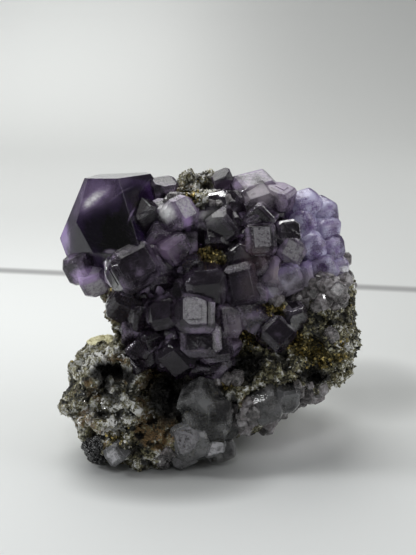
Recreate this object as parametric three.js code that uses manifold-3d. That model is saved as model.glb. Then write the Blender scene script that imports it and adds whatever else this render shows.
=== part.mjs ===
// A hand specimen of purple fluorite on its matrix: intergrown bevelled cubes on a pitted, granular rock.
// Millimetres, +Z up. The specimen stands on the flats under its rock, and its display face looks along -Y.
import * as THREE from "three";
import { ConvexGeometry } from "three/addons/geometries/ConvexGeometry.js";
import { SimplexNoise } from "three/addons/math/SimplexNoise.js";
import { mergeVertices } from "three/addons/utils/BufferGeometryUtils.js";
import Module from "manifold-3d";

const wasm = await Module();
wasm.setup();

// ---- Driving dimensions, in millimetres and degrees ----

const DISPLAY_LEAN = 18; // how far the display face leans back from upright
const VIEWING_DISTANCE = 235; // the lines of sight meet this far in front of the display face
const EYE_LEVEL = 9; // height on the display face that is seen square on
const FLOOR_BELOW = 27.2; // from the middle of the display face straight down to what the specimen stands on
const SEAT_GAP = 0.4; // between the crystals and the rock that they grew on
const BEVEL_SHARE = 0.2; // width of a crystal's bevels, as a share of its edge
const BEVELLED_FROM = 6.6; // crystals with a shorter edge are plain cubes
const UNEVENNESS = { side: 0.07, bevel: 0.35 }; // how far faces and bevels differ within one crystal
const ROCK_FACET = 3.1; // edge of the rock's facets
const ROUGHNESS = { swell: 1.8, swellSize: 8.5, ridge: 1.7, ridgeSize: 5.4 };
const WORN = 0.4; // share of that roughness in the hollows and on the softer minerals
const LEAST_CHIP = 10; // volume under which a piece that a cut leaves loose falls away
const SEEDS = { rock: 7, crystals: 11 };

// ---- Where things are ----
// A place is [across, up, out] on the display face: right, up the face, and out towards the viewer.
// It lies on a line of sight, so a crystal that is moved in or out keeps its place among its neighbours.

const lean = THREE.MathUtils.degToRad(DISPLAY_LEAN);
const ACROSS = new THREE.Vector3(1, 0, 0);
const UP = new THREE.Vector3(0, Math.sin(lean), Math.cos(lean));
const OUT = new THREE.Vector3(0, -Math.cos(lean), Math.sin(lean));
const FACE = new THREE.Matrix4().makeBasis(ACROSS, UP, OUT);

function place([across, up, out]) {
  const spread = 1 - out / VIEWING_DISTANCE;
  const point = new THREE.Vector3(across * spread, EYE_LEVEL + (up - EYE_LEVEL) * spread, out);
  return point.applyMatrix4(FACE).add(new THREE.Vector3(0, 0, FLOOR_BELOW));
}

// The rock is swollen lumps, run together: place, then radii across, up and out.
// The ones that lie behind the crystals also give the edge of their coarser facets.
const LUMPS = [
  [[-18, 5, -3], [4.6, 4.6, 6]], // neck, under the large crystal
  [[-15.5, -2, -3], [4, 6.5, 8]], // neck, lower half
  [[-20.6, -12, 0], [8, 6.2, 9]], // left shoulder
  [[-26.4, -16.6, 0], [5.4, 4.6, 7]], // left nose
  [[-20, -20, 0], [8.5, 6, 9]],
  [[-16, -25.8, 1], [7.4, 6.2, 9]], // left foot
  [[-9, -24.6, 0], [8.5, 6.4, 9]], // front lip
  [[-3, -18, -2], [10.5, 9, 9]], // front apron
  [[8, -14, -2], [9.5, 8.4, 10]],
  [[17, -9.5, -2], [9.5, 7.4, 10]], // right flank
  [[23.6, -5.5, -3], [8, 7.4, 9.5]],
  [[23.6, 2, -4], [6.8, 8, 9]], // right shoulder
  [[23.6, 9, -8], [5.4, 6, 7.5]],
  [[4, -2, -7], [15, 10, 10.5], 5.5], // core behind the crystals
  [[4, 12, -9], [15, 10, 9], 5],
  [[-3, 25.6, -6.5], [4.8, 5.6, 6.5]], // crown
  [[8, 21, -11], [9.5, 6.5, 7], 5],
  [[-12, 15, -11], [8, 9, 7], 5], // seat of the large crystal
  [[3, 0, -19], [18, 16, 10.5], 4.6], // back
  [[-8, -9, -12], [11, 9.5, 10], 4.6], // between the feet
  [[-4, -10.5, -21], [18, 11, 14], 4.6], // hind foot
  [[14, -5, -17], [13, 11, 11], 4.6],
];

// Hollows in the rock, in the same form.
const HOLLOWS = [
  [[-8.3, -14.3, 10], [4.6, 3.6, 11]], // the deep vug under the crystals
  [[-21.6, -10.2, 9], [2.8, 1.9, 6.5]],
  [[7.8, -8, 10], [2.5, 1.9, 8]],
  [[21.5, -11, 8.5], [1.9, 1.3, 4]],
  [[-12.5, -24, 12.5], [6, 3.4, 5]], // the scoop below the front lip
  [[-9, 5, -29], [9, 7, 4], 5], // scars on the broken back
  [[8, -3, -33], [10, 6, 4], 5],
  [[-14, -12, -34], [8, 8, 4], 5],
  [[21, 0, -20], [6, 9, 4], 5],
];

// Where the rock broke from the wall of its pocket: planes through three places each.
const BREAKS = {
  centre: [2, 0, -10],
  facets: [
    [[-20, 10, -25], [18, 8, -28], [0, -24, -33]],
    [[22, 12, -15], [30, -10, -17], [14, -16, -31]],
    [[-20, 4, -22], [-16, -20, -31], [-24, -16, -18]],
    [[2, 20, -21], [16, 18, -21], [6, 8, -28]],
  ],
};

// Thin shards that stick out of the neck: each is a wedge through these places.
const SHARDS = [
  [[-23, 0.6, -1], [-16, 2.6, 2], [-15, -0.4, 1], [-15, 1.5, -4]],
  [[-22.6, 4.4, -2], [-16, 6.5, 1], [-15, 2.8, 2], [-15, 5, -5]],
];

// Crystals: place, edge, then how far each is tipped forwards, swung right and rolled anticlockwise.

// The large crystal is cut by its facets: each lies in the plane through three places.
const LARGE_CRYSTAL = {
  centre: [-21, 21, -2],
  span: 40,
  facets: [
    [[-28.3, 20.7, 1.4], [-24.7, 14.2, 2.9], [-18, 22, 7.5]], // cube face to the front
    [[-18.9, 28.7, 7.7], [-17, 22.5, 8.1], [-10, 26, -5]], // cube face to the right
    [[-25.8, 30.2, 3.8], [-18.5, 30.2, 8], [-19, 31.2, -8]], // cube face on top
    [[-25.8, 30.2, 3.8], [-28.3, 20.7, 1.4], [-31, 19.5, -5]], // slim bevel on the left
    [[-28.3, 20.7, 1.4], [-24.7, 14.2, 2.9], [-29.3, 12.6, -4]], // broad bevel, lower left
    [[-24.7, 14.2, 2.9], [-20.5, 13.9, 5.2], [-25, 10.3, -2]], // broad bevel below the front face
    [[-30.4, 19, -2.5], [-30.2, 15.5, -4], [-31.9, 17.6, -6]], // glint at the left tip
    [[-31.9, 17.6, -6], [-29.6, 12.2, -6], [-29.5, 18, -13]], // cube face to the left
    [[-25.9, 30.2, -1], [-31.9, 17.6, -5.5], [-27, 23, -14]], // bevel, upper left
    [[-27, 10.4, -3], [-20, 10.2, -3], [-22, 11.6, -14]], // cube face below
    [[-12.4, 31.1, -4.5], [-10, 28, -5], [-12.5, 30, -12]], // bevel, upper right
    [[-24, 31, -10], [-18, 31, -10], [-22, 26, -14]], // bevel at the back of the top
    [[-26, 20, -13.5], [-14, 20, -13.5], [-20, 28, -12.5]], // cube face at the back
  ],
};

const CLUSTER = [
  // round the large crystal
  [[-27, 11.6, -2.5], 6.5, 30, -35, 10],
  [[-24.6, 8.8, -2.5], 6.5, 40, 20, 30],
  [[-9.4, 27, -3.5], 6, 30, 25, 12],
  [[-13.3, 21.5, 3], 8, 25, 30, 40],
  [[-6.5, 22.6, 4.5], 6.8, -18, 28, 25],
  [[-10.6, 18, 3], 5.5, 35, 10, 60],
  [[-7.4, 15.4, 4], 7, 18, 22, 38],
  [[-15.9, 10.8, 5.5], 10, -14, 16, 28],
  [[-17.4, 3.6, 2.6], 8, 38, -12, 52],
  [[-14.4, 1.2, 4], 6, 20, 34, 8],
  [[-9.5, 1.3, 6.4], 7.5, -8, -14, 12],
  [[-10.2, 8.2, 4.6], 6, 42, 18, 5],
  // the column of parallel crystals at the front
  [[-2.6, 3.1, 8.6], 9, -17, -3, 1],
  [[-2, -2.2, 8.2], 8, -13, -5, 2],
  [[0.2, -5.2, 6.4], 8, -20, 10, 6],
  [[3.1, -0.4, 5.8], 7, -10, 26, 3],
  [[-1, 7.9, 5.6], 8.5, 47, 4, 4],
  [[6.1, 7.6, 4.4], 9, 4, 12, 14],
  [[7.3, 2.2, 4], 6, -24, 20, 30],
  [[-11.6, -3.9, 4.2], 6.5, 28, 24, 22],
  [[-12.4, -7.2, 3.4], 5.5, 6, -28, 10],
  [[-6.3, -7.2, 6.2], 7.5, 30, -16, 33],
  // along the top
  [[1.8, 24.4, 0.5], 6.5, 12, -20, 8],
  [[3.2, 29.4, -2.5], 4.4, 35, 14, 28],
  [[9.6, 26.8, -2.6], 9.5, 34, 30, 18],
  [[10.3, 25, 0.8], 7, 42, 28, 26],
  [[11.2, 22.2, 3], 5.5, 20, -20, 40],
  [[10.7, 17, 4.6], 7, -12, 8, 3],
  [[3.3, 20.2, 3.4], 6.5, 18, -24, 32],
  [[1.7, 17.2, 3.2], 5.5, 52, 6, 0],
  [[5.9, 13.8, 3.8], 5.5, 14, 20, 42],
  [[10.6, 11.7, 3.2], 5.5, -6, -30, 26],
  [[16.3, 18.7, 1.6], 5.5, 0, 22, 8],
  [[17.1, 14, 2.4], 6, -15, 14, -34],
  // the paler mass at the right
  [[20.6, 23.9, -3.8], 7.5, 32, 20, 20],
  [[24, 22.6, -4.8], 7.5, 25, 38, 34],
  [[20, 20.4, -2], 7, 12, -16, 28],
  [[24.2, 19, -3.6], 7.5, 22, 34, 10],
  [[21.3, 15.8, -0.8], 7.5, 28, 12, 40],
  [[25.6, 15.6, -2.4], 6, 16, 40, 24],
  [[26.6, 11.2, -3.6], 5.5, 30, 30, 12],
  [[23.8, 10.2, -0.8], 6.5, -6, 18, 32],
  [[19.8, 9.2, 1], 6, 10, -18, 15],
  [[16.4, 9.6, 2.6], 6.5, 30, 8, 28],
  [[13.1, 7.3, 2.8], 5, 0, 16, 38],
  // over the top and down the back
  [[-4, 24, -13], 6, 60, 20, 15],
  [[2.5, 25, -12.5], 7.5, 70, -15, 30],
  [[9, 24.5, -11], 7, 50, 40, 10],
  [[17, 20.5, -10.5], 7, 65, 25, 35],
  [[-11, 23.5, -14], 6.5, 75, 5, 40],
];

const SIDE_PAIR = [
  [[14.2, -3.2, 5.6], 6.6, -12, 14, 44],
  [[18.2, 0.9, 4.2], 5.2, 26, 22, 18],
];

const FRONT_GROUP = [
  [[-2.2, -17, 7.4], 7.4, 36, -14, 30],
  [[1.2, -19.8, 7.2], 7, 4, 10, 2],
  [[-3.6, -25.8, 7], 8, -10, -18, 22],
  [[-0.2, -25.4, 6], 6.5, 20, 26, 8],
];

const PALE_PAIR = [
  [[12, -17.8, 6.4], 7, 16, -20, 24],
  [[16, -16.4, 5], 5.5, 28, 25, 10],
];

const TOE_CRYSTAL = [[[-19.6, -28.2, 8.8], 4, 14, -22, 34]];

const SPHALERITE_TOE = [[-23.6, -26.9, 5.4], [2.9, 3.7, 3.8]];
const CALCITE_LUMP = [[-21.8, -6, -9], [4.4, 2.5, 4.6]];

// ---- Solids ----

const WELD = 1e-4; // points nearer than this are one point

function merged(geometry, tolerance) {
  const bare = new THREE.BufferGeometry().setAttribute("position", geometry.getAttribute("position"));
  return mergeVertices(bare.setIndex(geometry.index), tolerance);
}

function solidOf(geometry) {
  const { attributes, index } = merged(geometry, WELD);
  const mesh = { numProp: 3, vertProperties: attributes.position.array, triVerts: new Uint32Array(index.array) };
  return new wasm.Manifold(new wasm.Mesh(mesh));
}

const joined = (solids) => solids.reduce((all, next) => all.add(next));

// The largest piece of a solid: what a cut leaves loose falls away.
function wholePiece(solid, name) {
  const pieces = solid.decompose().sort((a, b) => b.volume() - a.volume());
  const loose = pieces.slice(1).filter((piece) => piece.volume() > LEAST_CHIP);
  if (loose.length) throw new Error(`${name} has ${loose.length} loose pieces`);
  return pieces[0];
}

// A small seeded generator, so that every build gives the same specimen.
function seeded(seed) {
  let state = seed;
  const random = () => {
    state = (state * 1664525 + 1013904223) % 4294967296;
    return state / 4294967296;
  };
  return { random, vary: (amount) => 1 + amount * (2 * random() - 1) };
}

// ---- Rock ----

const ICOSAHEDRON_EDGE = 1.05; // of an icosahedron with a radius of 1
const DETAIL = { least: 1, most: 5 };
const SHARD_ROOM = 3; // a sharp point moves out this many times the gap, so that its sides clear by the gap

const noise = new SimplexNoise(seeded(SEEDS.rock));

// How far the rock stands out from its lumps at a point: broad swells and sharper ridges.
function roughnessAt(point) {
  const sample = (size) => noise.noise3d(point.x / size, point.y / size, point.z / size);
  const swell = ROUGHNESS.swell * sample(ROUGHNESS.swellSize);
  return swell + ROUGHNESS.ridge * (1 - 2 * Math.abs(sample(ROUGHNESS.ridgeSize)));
}

function lump([at, radii, facet = ROCK_FACET], { rough = 1, room = 0 } = {}) {
  const radius = (radii[0] + radii[1] + radii[2]) / 3;
  const detail = Math.round((ICOSAHEDRON_EDGE * radius) / facet) - 1;
  const geometry = merged(new THREE.IcosahedronGeometry(1, THREE.MathUtils.clamp(detail, DETAIL.least, DETAIL.most)));
  const centre = place(at);
  const points = geometry.getAttribute("position");
  for (let i = 0; i < points.count; i++) {
    const direction = new THREE.Vector3().fromBufferAttribute(points, i);
    const reach = direction.multiply(new THREE.Vector3(...radii)).applyMatrix4(FACE);
    const point = centre.clone().add(reach);
    point.addScaledVector(reach.normalize(), rough * roughnessAt(point) + room);
    points.setXYZ(i, point.x, point.y, point.z);
  }
  return solidOf(geometry);
}

// A wedge of rock, with each point carried out from its middle where it needs room.
function shard(places, room = 0) {
  const points = places.map(place);
  const centre = points.reduce((sum, point) => sum.add(point), new THREE.Vector3()).divideScalar(points.length);
  for (const point of points) {
    point.addScaledVector(point.clone().sub(centre).normalize(), SHARD_ROOM * room);
  }
  return solidOf(new ConvexGeometry(points));
}

// ---- Crystals ----

const SIGNS = [-1, 1];
const AXES = ["x", "y", "z"];
const chance = seeded(SEEDS.crystals);

// The corners of a cube with a flat bevel on each edge: three points at each, one on each face.
function bevelledCorners(edge, reach) {
  const bevels = AXES.map(() => [0, 1, 2, 3].map(() => edge * BEVEL_SHARE * chance.vary(UNEVENNESS.bevel)));
  const points = [];
  for (let corner = 0; corner < 8; corner++) {
    const side = AXES.map((_, axis) => (corner >> axis) & 1);
    // The bevel along an axis runs between the two faces that the corner has beside it.
    const bevel = AXES.map((_, axis) => bevels[axis][side[(axis + 1) % 3] + 2 * side[(axis + 2) % 3]]);
    for (const face of [0, 1, 2]) {
      const point = AXES.map((_, axis) => {
        const width = axis === face ? 0 : bevel[3 - axis - face];
        return reach[axis][side[axis]] - SIGNS[side[axis]] * width;
      });
      points.push(new THREE.Vector3(...point));
    }
  }
  return points;
}

// A crystal, with its faces and bevels a little uneven as they grew.
function crystal([at, edge, tip, swing, roll]) {
  const reach = AXES.map(() => SIGNS.map((sign) => (sign * edge * chance.vary(UNEVENNESS.side)) / 2));
  const size = reach.map(([low, high]) => high - low);
  const shift = reach.map(([low, high]) => (low + high) / 2);
  const shape =
    edge < BEVELLED_FROM
      ? new THREE.BoxGeometry(...size).translate(...shift)
      : new ConvexGeometry(bevelledCorners(edge, reach));
  const angles = [tip, swing, roll].map(THREE.MathUtils.degToRad);
  const turn = new THREE.Matrix4().makeRotationFromEuler(new THREE.Euler(...angles, "YXZ")).premultiply(FACE);
  return solidOf(shape.applyMatrix4(turn.setPosition(place(at))));
}

// A solid cut by flat facets, each facing away from the centre.
function facetted(solid, { centre, facets }) {
  const middle = place(centre);
  return facets.reduce((rest, places) => {
    const facet = new THREE.Plane().setFromCoplanarPoints(...places.map(place));
    if (facet.distanceToPoint(middle) < 0) facet.negate();
    return rest.trimByPlane(facet.normal.toArray(), -facet.constant);
  }, solid);
}

function largeCrystal() {
  const block = new THREE.BoxGeometry(LARGE_CRYSTAL.span, LARGE_CRYSTAL.span, LARGE_CRYSTAL.span);
  return facetted(solidOf(block.translate(...place(LARGE_CRYSTAL.centre).toArray())), LARGE_CRYSTAL);
}

const grown = (crystals) => joined(crystals.map(crystal));

// ---- Assembly ----

const FINISHES = {
  rock: { color: 0x6b675c, roughness: 0.85, metalness: 0.05 },
  purple: { color: 0x4b3c5e, roughness: 0.12, metalness: 0 },
  pale: { color: 0x8d8792, roughness: 0.2, metalness: 0 },
  black: { color: 0x1f2022, roughness: 0.45, metalness: 0.2 },
  yellow: { color: 0xb3a878, roughness: 0.4, metalness: 0 },
};

const specimen = new THREE.Group();

function addNode(name, solid, finish) {
  const { vertProperties, triVerts } = wholePiece(solid, name).getMesh();
  const geometry = new THREE.BufferGeometry()
    .setAttribute("position", new THREE.BufferAttribute(vertProperties, 3))
    .setIndex(new THREE.BufferAttribute(triVerts, 1));
  const mesh = new THREE.Mesh(geometry, new THREE.MeshStandardMaterial(FINISHES[finish]));
  mesh.name = name;
  specimen.add(mesh);
}

// Rock, and the same rock with room round it, which is cut from what sits on it.
function rockSolid(room) {
  const lumps = LUMPS.map((one) => lump(one, { room }));
  const shards = SHARDS.map((one) => shard(one, room));
  const hollows = HOLLOWS.map((one) => lump(one, { rough: WORN, room: -room }));
  return facetted(joined([...lumps, ...shards]).subtract(joined(hollows)), BREAKS);
}

const rock = rockSolid(0);
const seat = rockSolid(SEAT_GAP);

addNode("fluorite_cluster", largeCrystal().add(grown(CLUSTER)).subtract(seat), "purple");
addNode("fluorite_side_pair", grown(SIDE_PAIR).subtract(seat), "purple");
addNode("fluorite_front_group", grown(FRONT_GROUP).subtract(seat), "purple");
addNode("fluorite_pale_pair", grown(PALE_PAIR).subtract(seat), "pale");
addNode("fluorite_toe_crystal", grown(TOE_CRYSTAL).subtract(seat), "pale");
addNode("sphalerite_toe", lump(SPHALERITE_TOE, { rough: WORN }).subtract(seat), "black");
addNode("calcite_lump", lump(CALCITE_LUMP, { rough: WORN }).subtract(seat), "yellow");

// The worn flats that the specimen stands on: the rock ends at the level of the surface under it.
addNode("matrix_rock", rock.trimByPlane([0, 0, 1], 0), "rock");

// The origin is at the middle of the specimen's outline, at the level that it stands on.
const middle = new THREE.Box3().setFromObject(specimen).getCenter(new THREE.Vector3());
for (const mesh of specimen.children) mesh.geometry.translate(-middle.x, -middle.y, 0);

export default specimen;
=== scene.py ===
# %% [markdown]
# # Purple fluorite on its matrix
# This lesson dresses one mineral specimen: intergrown, bevelled cubes of purple fluorite that sit on a
# pitted, granular rock. The solids come in packed, as a frame that is never moved. Each one is then
# replaced by a finer piece that stands in the same place: crystals with sharp rims and growth steps, rock
# that is broken down to its grains, and the loose grains themselves.

# %% Start from the frame
import itertools
import math

import bmesh
import bpy
import numpy as np
from mathutils import Matrix, Vector


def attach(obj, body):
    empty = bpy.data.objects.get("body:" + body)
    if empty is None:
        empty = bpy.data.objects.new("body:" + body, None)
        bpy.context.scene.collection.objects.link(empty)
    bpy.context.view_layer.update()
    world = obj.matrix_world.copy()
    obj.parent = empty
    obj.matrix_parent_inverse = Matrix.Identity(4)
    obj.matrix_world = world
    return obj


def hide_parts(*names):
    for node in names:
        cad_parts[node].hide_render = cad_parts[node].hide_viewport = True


MM = 0.001
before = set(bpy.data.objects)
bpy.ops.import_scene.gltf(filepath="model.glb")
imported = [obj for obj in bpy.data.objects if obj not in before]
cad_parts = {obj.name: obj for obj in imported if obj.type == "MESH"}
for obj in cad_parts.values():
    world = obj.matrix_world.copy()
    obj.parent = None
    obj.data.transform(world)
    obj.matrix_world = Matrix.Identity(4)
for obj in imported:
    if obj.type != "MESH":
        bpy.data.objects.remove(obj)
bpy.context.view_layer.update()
scene = bpy.context.scene
print("nodes:", ", ".join(sorted(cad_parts)))

# %% [markdown]
# ## Places on the display face
# A collector stands a specimen so that its best side leans back a little and faces the room. Everything is
# laid out on that leaning face: across, up and out, in millimetres. A place also lies on a line of sight, so
# that a crystal which sits further out still covers the same neighbours. The solids were laid out in the
# same way, so the two agree.

# %% Places on the display face
LEAN = math.radians(18)
EYE_DISTANCE = 235
EYE_LEVEL = 9
MIDDLE = Vector((-0.1913, -4.5152, 27.2))

ACROSS = Vector((1, 0, 0))
UP = Vector((0, math.sin(LEAN), math.cos(LEAN)))
OUT = Vector((0, -math.cos(LEAN), math.sin(LEAN)))
FACE = Matrix((ACROSS, UP, OUT)).transposed()


def point(across, up, out):
    """A point in millimetres, measured square to the display face."""
    return FACE @ Vector((across, up, out)) + MIDDLE


def place(at):
    """A point in millimetres on the line of sight through [across, up]."""
    across, up, out = at
    spread = 1 - out / EYE_DISTANCE
    return point(across * spread, EYE_LEVEL + (up - EYE_LEVEL) * spread, out)


def seen_from_the_front(points):
    """Turns row positions in metres into [across, up, out] in millimetres, as place() takes them."""
    square = (points / MM - np.array(MIDDLE)) @ np.array(FACE)
    spread = 1 - square[:, 2] / EYE_DISTANCE
    return np.stack([square[:, 0] / spread, EYE_LEVEL + (square[:, 1] - EYE_LEVEL) / spread, square[:, 2]], 1)


# %% [markdown]
# ## Node trees written as sums
# A material is easier to read as arithmetic than as a list of nodes. One small class wraps a socket, and
# Python's operators on it add Math nodes. Anything else, in a shader or in Geometry Nodes, comes from one
# method that takes a node's type, its settings, and the values or links of its sockets. Every colour is
# solid, so it's written as red, green and blue alone.

# %% Node trees written as sums


def maths(operation, swapped=False):
    """A method that adds a Math node, with the socket itself first, or last where the two are swapped."""

    def method(self, *others):
        values = (*others, self) if swapped else (self, *others)
        return self.tree.node("ShaderNodeMath", {"operation": operation}, dict(enumerate(values)))

    return method


class Socket:
    """An output socket that Python's operators work on."""

    def __init__(self, tree, socket):
        self.tree = tree
        self.socket = socket

    __add__ = __radd__ = maths("ADD")
    __mul__ = __rmul__ = maths("MULTIPLY")
    __sub__ = maths("SUBTRACT")
    __rsub__ = maths("SUBTRACT", swapped=True)
    __truediv__ = maths("DIVIDE")
    __pow__ = maths("POWER")
    __abs__ = maths("ABSOLUTE")
    least = maths("MINIMUM")
    most = maths("MAXIMUM")

    def rise(self, start, end, low=0.0, high=1.0):
        """A smooth step from low to high as this value goes from start to end."""
        inputs = {"Value": self, "From Min": start, "From Max": end, "To Min": low, "To Max": high}
        return self.tree.node("ShaderNodeMapRange", {"interpolation_type": "SMOOTHSTEP"}, inputs)


class Tree:
    """A node tree, for a material or for Geometry Nodes."""

    def __init__(self, tree):
        self.tree = tree

    def node(self, kind, settings=None, inputs=None, output=0):
        made = self.tree.nodes.new(kind)
        for name, value in (settings or {}).items():
            setattr(made, name, value)
        for name, value in (inputs or {}).items():
            socket = made.inputs[name]
            if isinstance(value, Socket):
                self.tree.links.new(value.socket, socket)
            else:
                socket.default_value = (*value, 1) if socket.type == "RGBA" else value
        return Socket(self, made.outputs[output]) if made.outputs else made

    def other(self, socket, output):
        """Another output of the node that a socket belongs to."""
        return Socket(self, socket.socket.node.outputs[output])

    def parts(self, whole, kind="XYZ"):
        """The three numbers that a vector is made of, or a colour."""
        first = self.node("ShaderNodeSeparate" + kind, None, {0: whole})
        return [self.other(first, i) for i in range(3)]

    def mix(self, factor, low, high):
        """A colour between two colours."""
        inputs = {"Factor": factor, 6: low, 7: high}
        return self.node("ShaderNodeMix", {"data_type": "RGBA"}, inputs, output=2)

    def ramp(self, value, stops):
        """A colour that runs through stops, each of them a position and a colour."""
        made = self.node("ShaderNodeValToRGB", None, {0: value})
        elements = made.socket.node.color_ramp.elements
        while len(elements) < len(stops):
            elements.new(1)
        for element, (position, colour) in zip(elements, stops):
            element.position = position
            element.color = (*colour, 1)
        return made

    def vector(self, operation, *values, output=0):
        return self.node("ShaderNodeVectorMath", {"operation": operation}, dict(enumerate(values)), output)

    def scaled(self, vector, scale):
        return self.node("ShaderNodeVectorMath", {"operation": "SCALE"}, {0: vector, "Scale": scale})

    def centred(self, vector):
        """A vector or colour that runs from 0 to 1, moved to run from -0.5 to 0.5."""
        return self.vector("SUBTRACT", vector, (0.5, 0.5, 0.5))

    def attribute(self, name, output="Fac"):
        return self.node("ShaderNodeAttribute", {"attribute_name": name}, output=output)

    def noise(self, vector, scale, detail=2.0, roughness=0.5, output=0):
        inputs = {"Vector": vector, "Scale": scale, "Detail": detail, "Roughness": roughness}
        return self.node("ShaderNodeTexNoise", None, inputs, output)

    def cells(self, vector, scale, distance="EUCLIDEAN", output=0):
        inputs = {"Vector": vector, "Scale": scale}
        return self.node("ShaderNodeTexVoronoi", {"distance": distance}, inputs, output)

    def tilted_normal(self, cells, amount):
        """The surface's normal, tilted its own way in each cell."""
        normal = self.node("ShaderNodeNewGeometry", output="Normal")
        return self.vector("NORMALIZE", self.vector("ADD", normal, self.scaled(self.centred(cells), amount)))

    def bump(self, height, strength, depth, **more):
        """Relief from a height, with its depth in millimetres."""
        inputs = {"Strength": strength, "Distance": depth * MM, "Height": height}
        return self.node("ShaderNodeBump", None, {**inputs, **more})


def material(name):
    """A new material's tree, and the position on the object in millimetres."""
    made = bpy.data.materials.new(name)
    made.use_nodes = True
    made.node_tree.nodes.clear()
    tree = Tree(made.node_tree)
    tree.material = made
    return tree, tree.scaled(tree.node("ShaderNodeTexCoord", output="Object"), 1 / MM)


def finished(tree, inputs, volume=None, over=None, share=0.0):
    """The material, with a Principled shader, a share of a second one over it, and an absorbing volume."""
    surface = tree.node("ShaderNodeBsdfPrincipled", None, inputs)
    if over:
        coat = tree.node("ShaderNodeBsdfPrincipled", None, over)
        surface = tree.node("ShaderNodeMixShader", None, {0: share, 1: surface, 2: coat})
    links = {"Surface": surface}
    if volume:
        links["Volume"] = tree.node("ShaderNodeVolumeAbsorption", None, volume)
    tree.node("ShaderNodeOutputMaterial", None, links)
    return tree.material


print("kit for node trees is ready")

# %% [markdown]
# ## Floor and backdrop
# The specimen stands on a plain pale surface that sweeps up behind it. A wide sweep was chosen over a wall
# and a table because it has no edge to show in other views. Light and shade are painted on it: the one dark
# line is painted shade where a wall would meet the floor, the far floor is painted darker and the wall
# lighter, the right side carries painted shade, and near the specimen lie painted soft shadows and a painted
# pool of light.

# %% Floor and backdrop
FLOOR_REACH = 1400
SWEEP_START = 330
SWEEP_RADIUS = 260
SWEEP_STEPS = 20

# The dark line is painted shade, where a wall would meet the floor.
LINE_BEHIND = 106
LINE_SLOPE = -0.15
LINE_FADE = (0.5, 4.5)
LINE_STRENGTH = 0.75
CREASE_SHADE_TONE = (0.2, 0.2, 0.2)

FLOOR_TONE = (0.68, 0.695, 0.685)
# Painted shade darkens the far floor, and painted light brightens the wall.
FAR_FADE = (60, 200)
FAR_PAINTED_SHADE = (0.54, 0.55, 0.54)
WALL_FADE = (280, 480)
WALL_PAINTED_LIGHT = (0.82, 0.835, 0.82)
SOFT_SHADE = (0.27, 0.275, 0.27)
SUNLIT = (0.95, 0.96, 0.95)
# Painted shade on the right side of the wall and of the floor: how it comes in across and back, strength and
# tone.
RIGHT_PAINTED_SHADES = [
    ((-120, 130), (240, 440), 1, (0.55, 0.555, 0.545)),
    ((-40, 80), (-40, 50), 0.8, (0.5, 0.51, 0.5)),
]
# Painted soft shadows and one painted pool of light near the specimen: middle across and back, reach across
# and back, strength and tone.
PAINTED_SPOTS = [
    (40, 22, 13, 14, 0.6, SOFT_SHADE),
    (16, -3, 10, 10, 0.8, SUNLIT),
    (-8, -24, 15, 8, 0.75, SOFT_SHADE),
]
SPOT_EDGE = 2.6


def mesh_object(name, mesh):
    made = bpy.data.objects.new(name, mesh)
    scene.collection.objects.link(made)
    return made


def sweep_profile():
    """Distance back and height along the floor, round the bend and up the wall, in millimetres."""
    bend = [math.radians(90 * step / SWEEP_STEPS) for step in range(SWEEP_STEPS + 1)]
    curve = [(SWEEP_START + SWEEP_RADIUS * math.sin(a), SWEEP_RADIUS * (1 - math.cos(a))) for a in bend]
    return [(-FLOOR_REACH, 0), *curve, (SWEEP_START + SWEEP_RADIUS, FLOOR_REACH)]


def backdrop():
    profile = sweep_profile()
    corners = [(side * FLOOR_REACH * MM, back * MM, up * MM) for back, up in profile for side in (-1, 1)]
    faces = [(2 * i, 2 * i + 1, 2 * i + 3, 2 * i + 2) for i in range(len(profile) - 1)]
    mesh = bpy.data.meshes.new("backdrop")
    mesh.from_pydata(corners, [], faces)
    mesh.shade_smooth()
    return mesh_object("backdrop", mesh)


stage = backdrop()
tree, here = material("pale_backdrop")
across, back, _ = tree.parts(here)
# Painted light and shade on the sweep: the far floor, the wall, the right side, the spots and the dark line.
sheet = tree.mix(back.rise(*FAR_FADE), FLOOR_TONE, FAR_PAINTED_SHADE)
sheet = tree.mix(back.rise(*WALL_FADE), sheet, WALL_PAINTED_LIGHT)
for side_fade, back_fade, most, tone in RIGHT_PAINTED_SHADES:
    sheet = tree.mix(across.rise(*side_fade) * back.rise(*back_fade) * most, sheet, tone)
for right, behind, width, depth, most, tone in PAINTED_SPOTS:
    away = ((across - right) / width) ** 2 + ((back - behind) / depth) ** 2
    sheet = tree.mix(away.rise(0, SPOT_EDGE, most, 0), sheet, tone)
line = abs(back - (across * LINE_SLOPE + LINE_BEHIND)).rise(*LINE_FADE, 1, 0)
sheet = tree.mix(line * LINE_STRENGTH, sheet, CREASE_SHADE_TONE)
paper = finished(tree, {"Base Color": sheet, "Roughness": 0.7, "Specular IOR Level": 0.2})
stage.data.materials.append(paper)
print("backdrop made")

# %% [markdown]
# ## Lights and camera
# The key light is wide and soft. It hangs high and behind, so the shadow falls forwards and the near side
# stays dim. Two small windows, at the left and in front, put glints on the rims, and a wide pale wall at the
# right fills the shade. The camera is a long lens that looks straight at the display face.

# %% Lights and camera
AIM = Vector((0, 0, 25)) * MM
ROOM_LIGHT = 0.16
LENS = 71.35
EYE = (-0.2, 9.07, 234.6)
NEAREST = 10
FARTHEST = 10000


def soft_light(name, across, back, height, size, watts, tint):
    lamp = bpy.data.lights.new(name, "AREA")
    lamp.shape = "DISK"
    lamp.size = size * MM
    lamp.energy = watts
    lamp.color = tint
    made = bpy.data.objects.new(name, lamp)
    made.location = Vector((across, back, height)) * MM
    made.rotation_euler = (AIM - made.location).to_track_quat("-Z", "Y").to_euler()
    scene.collection.objects.link(made)


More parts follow.
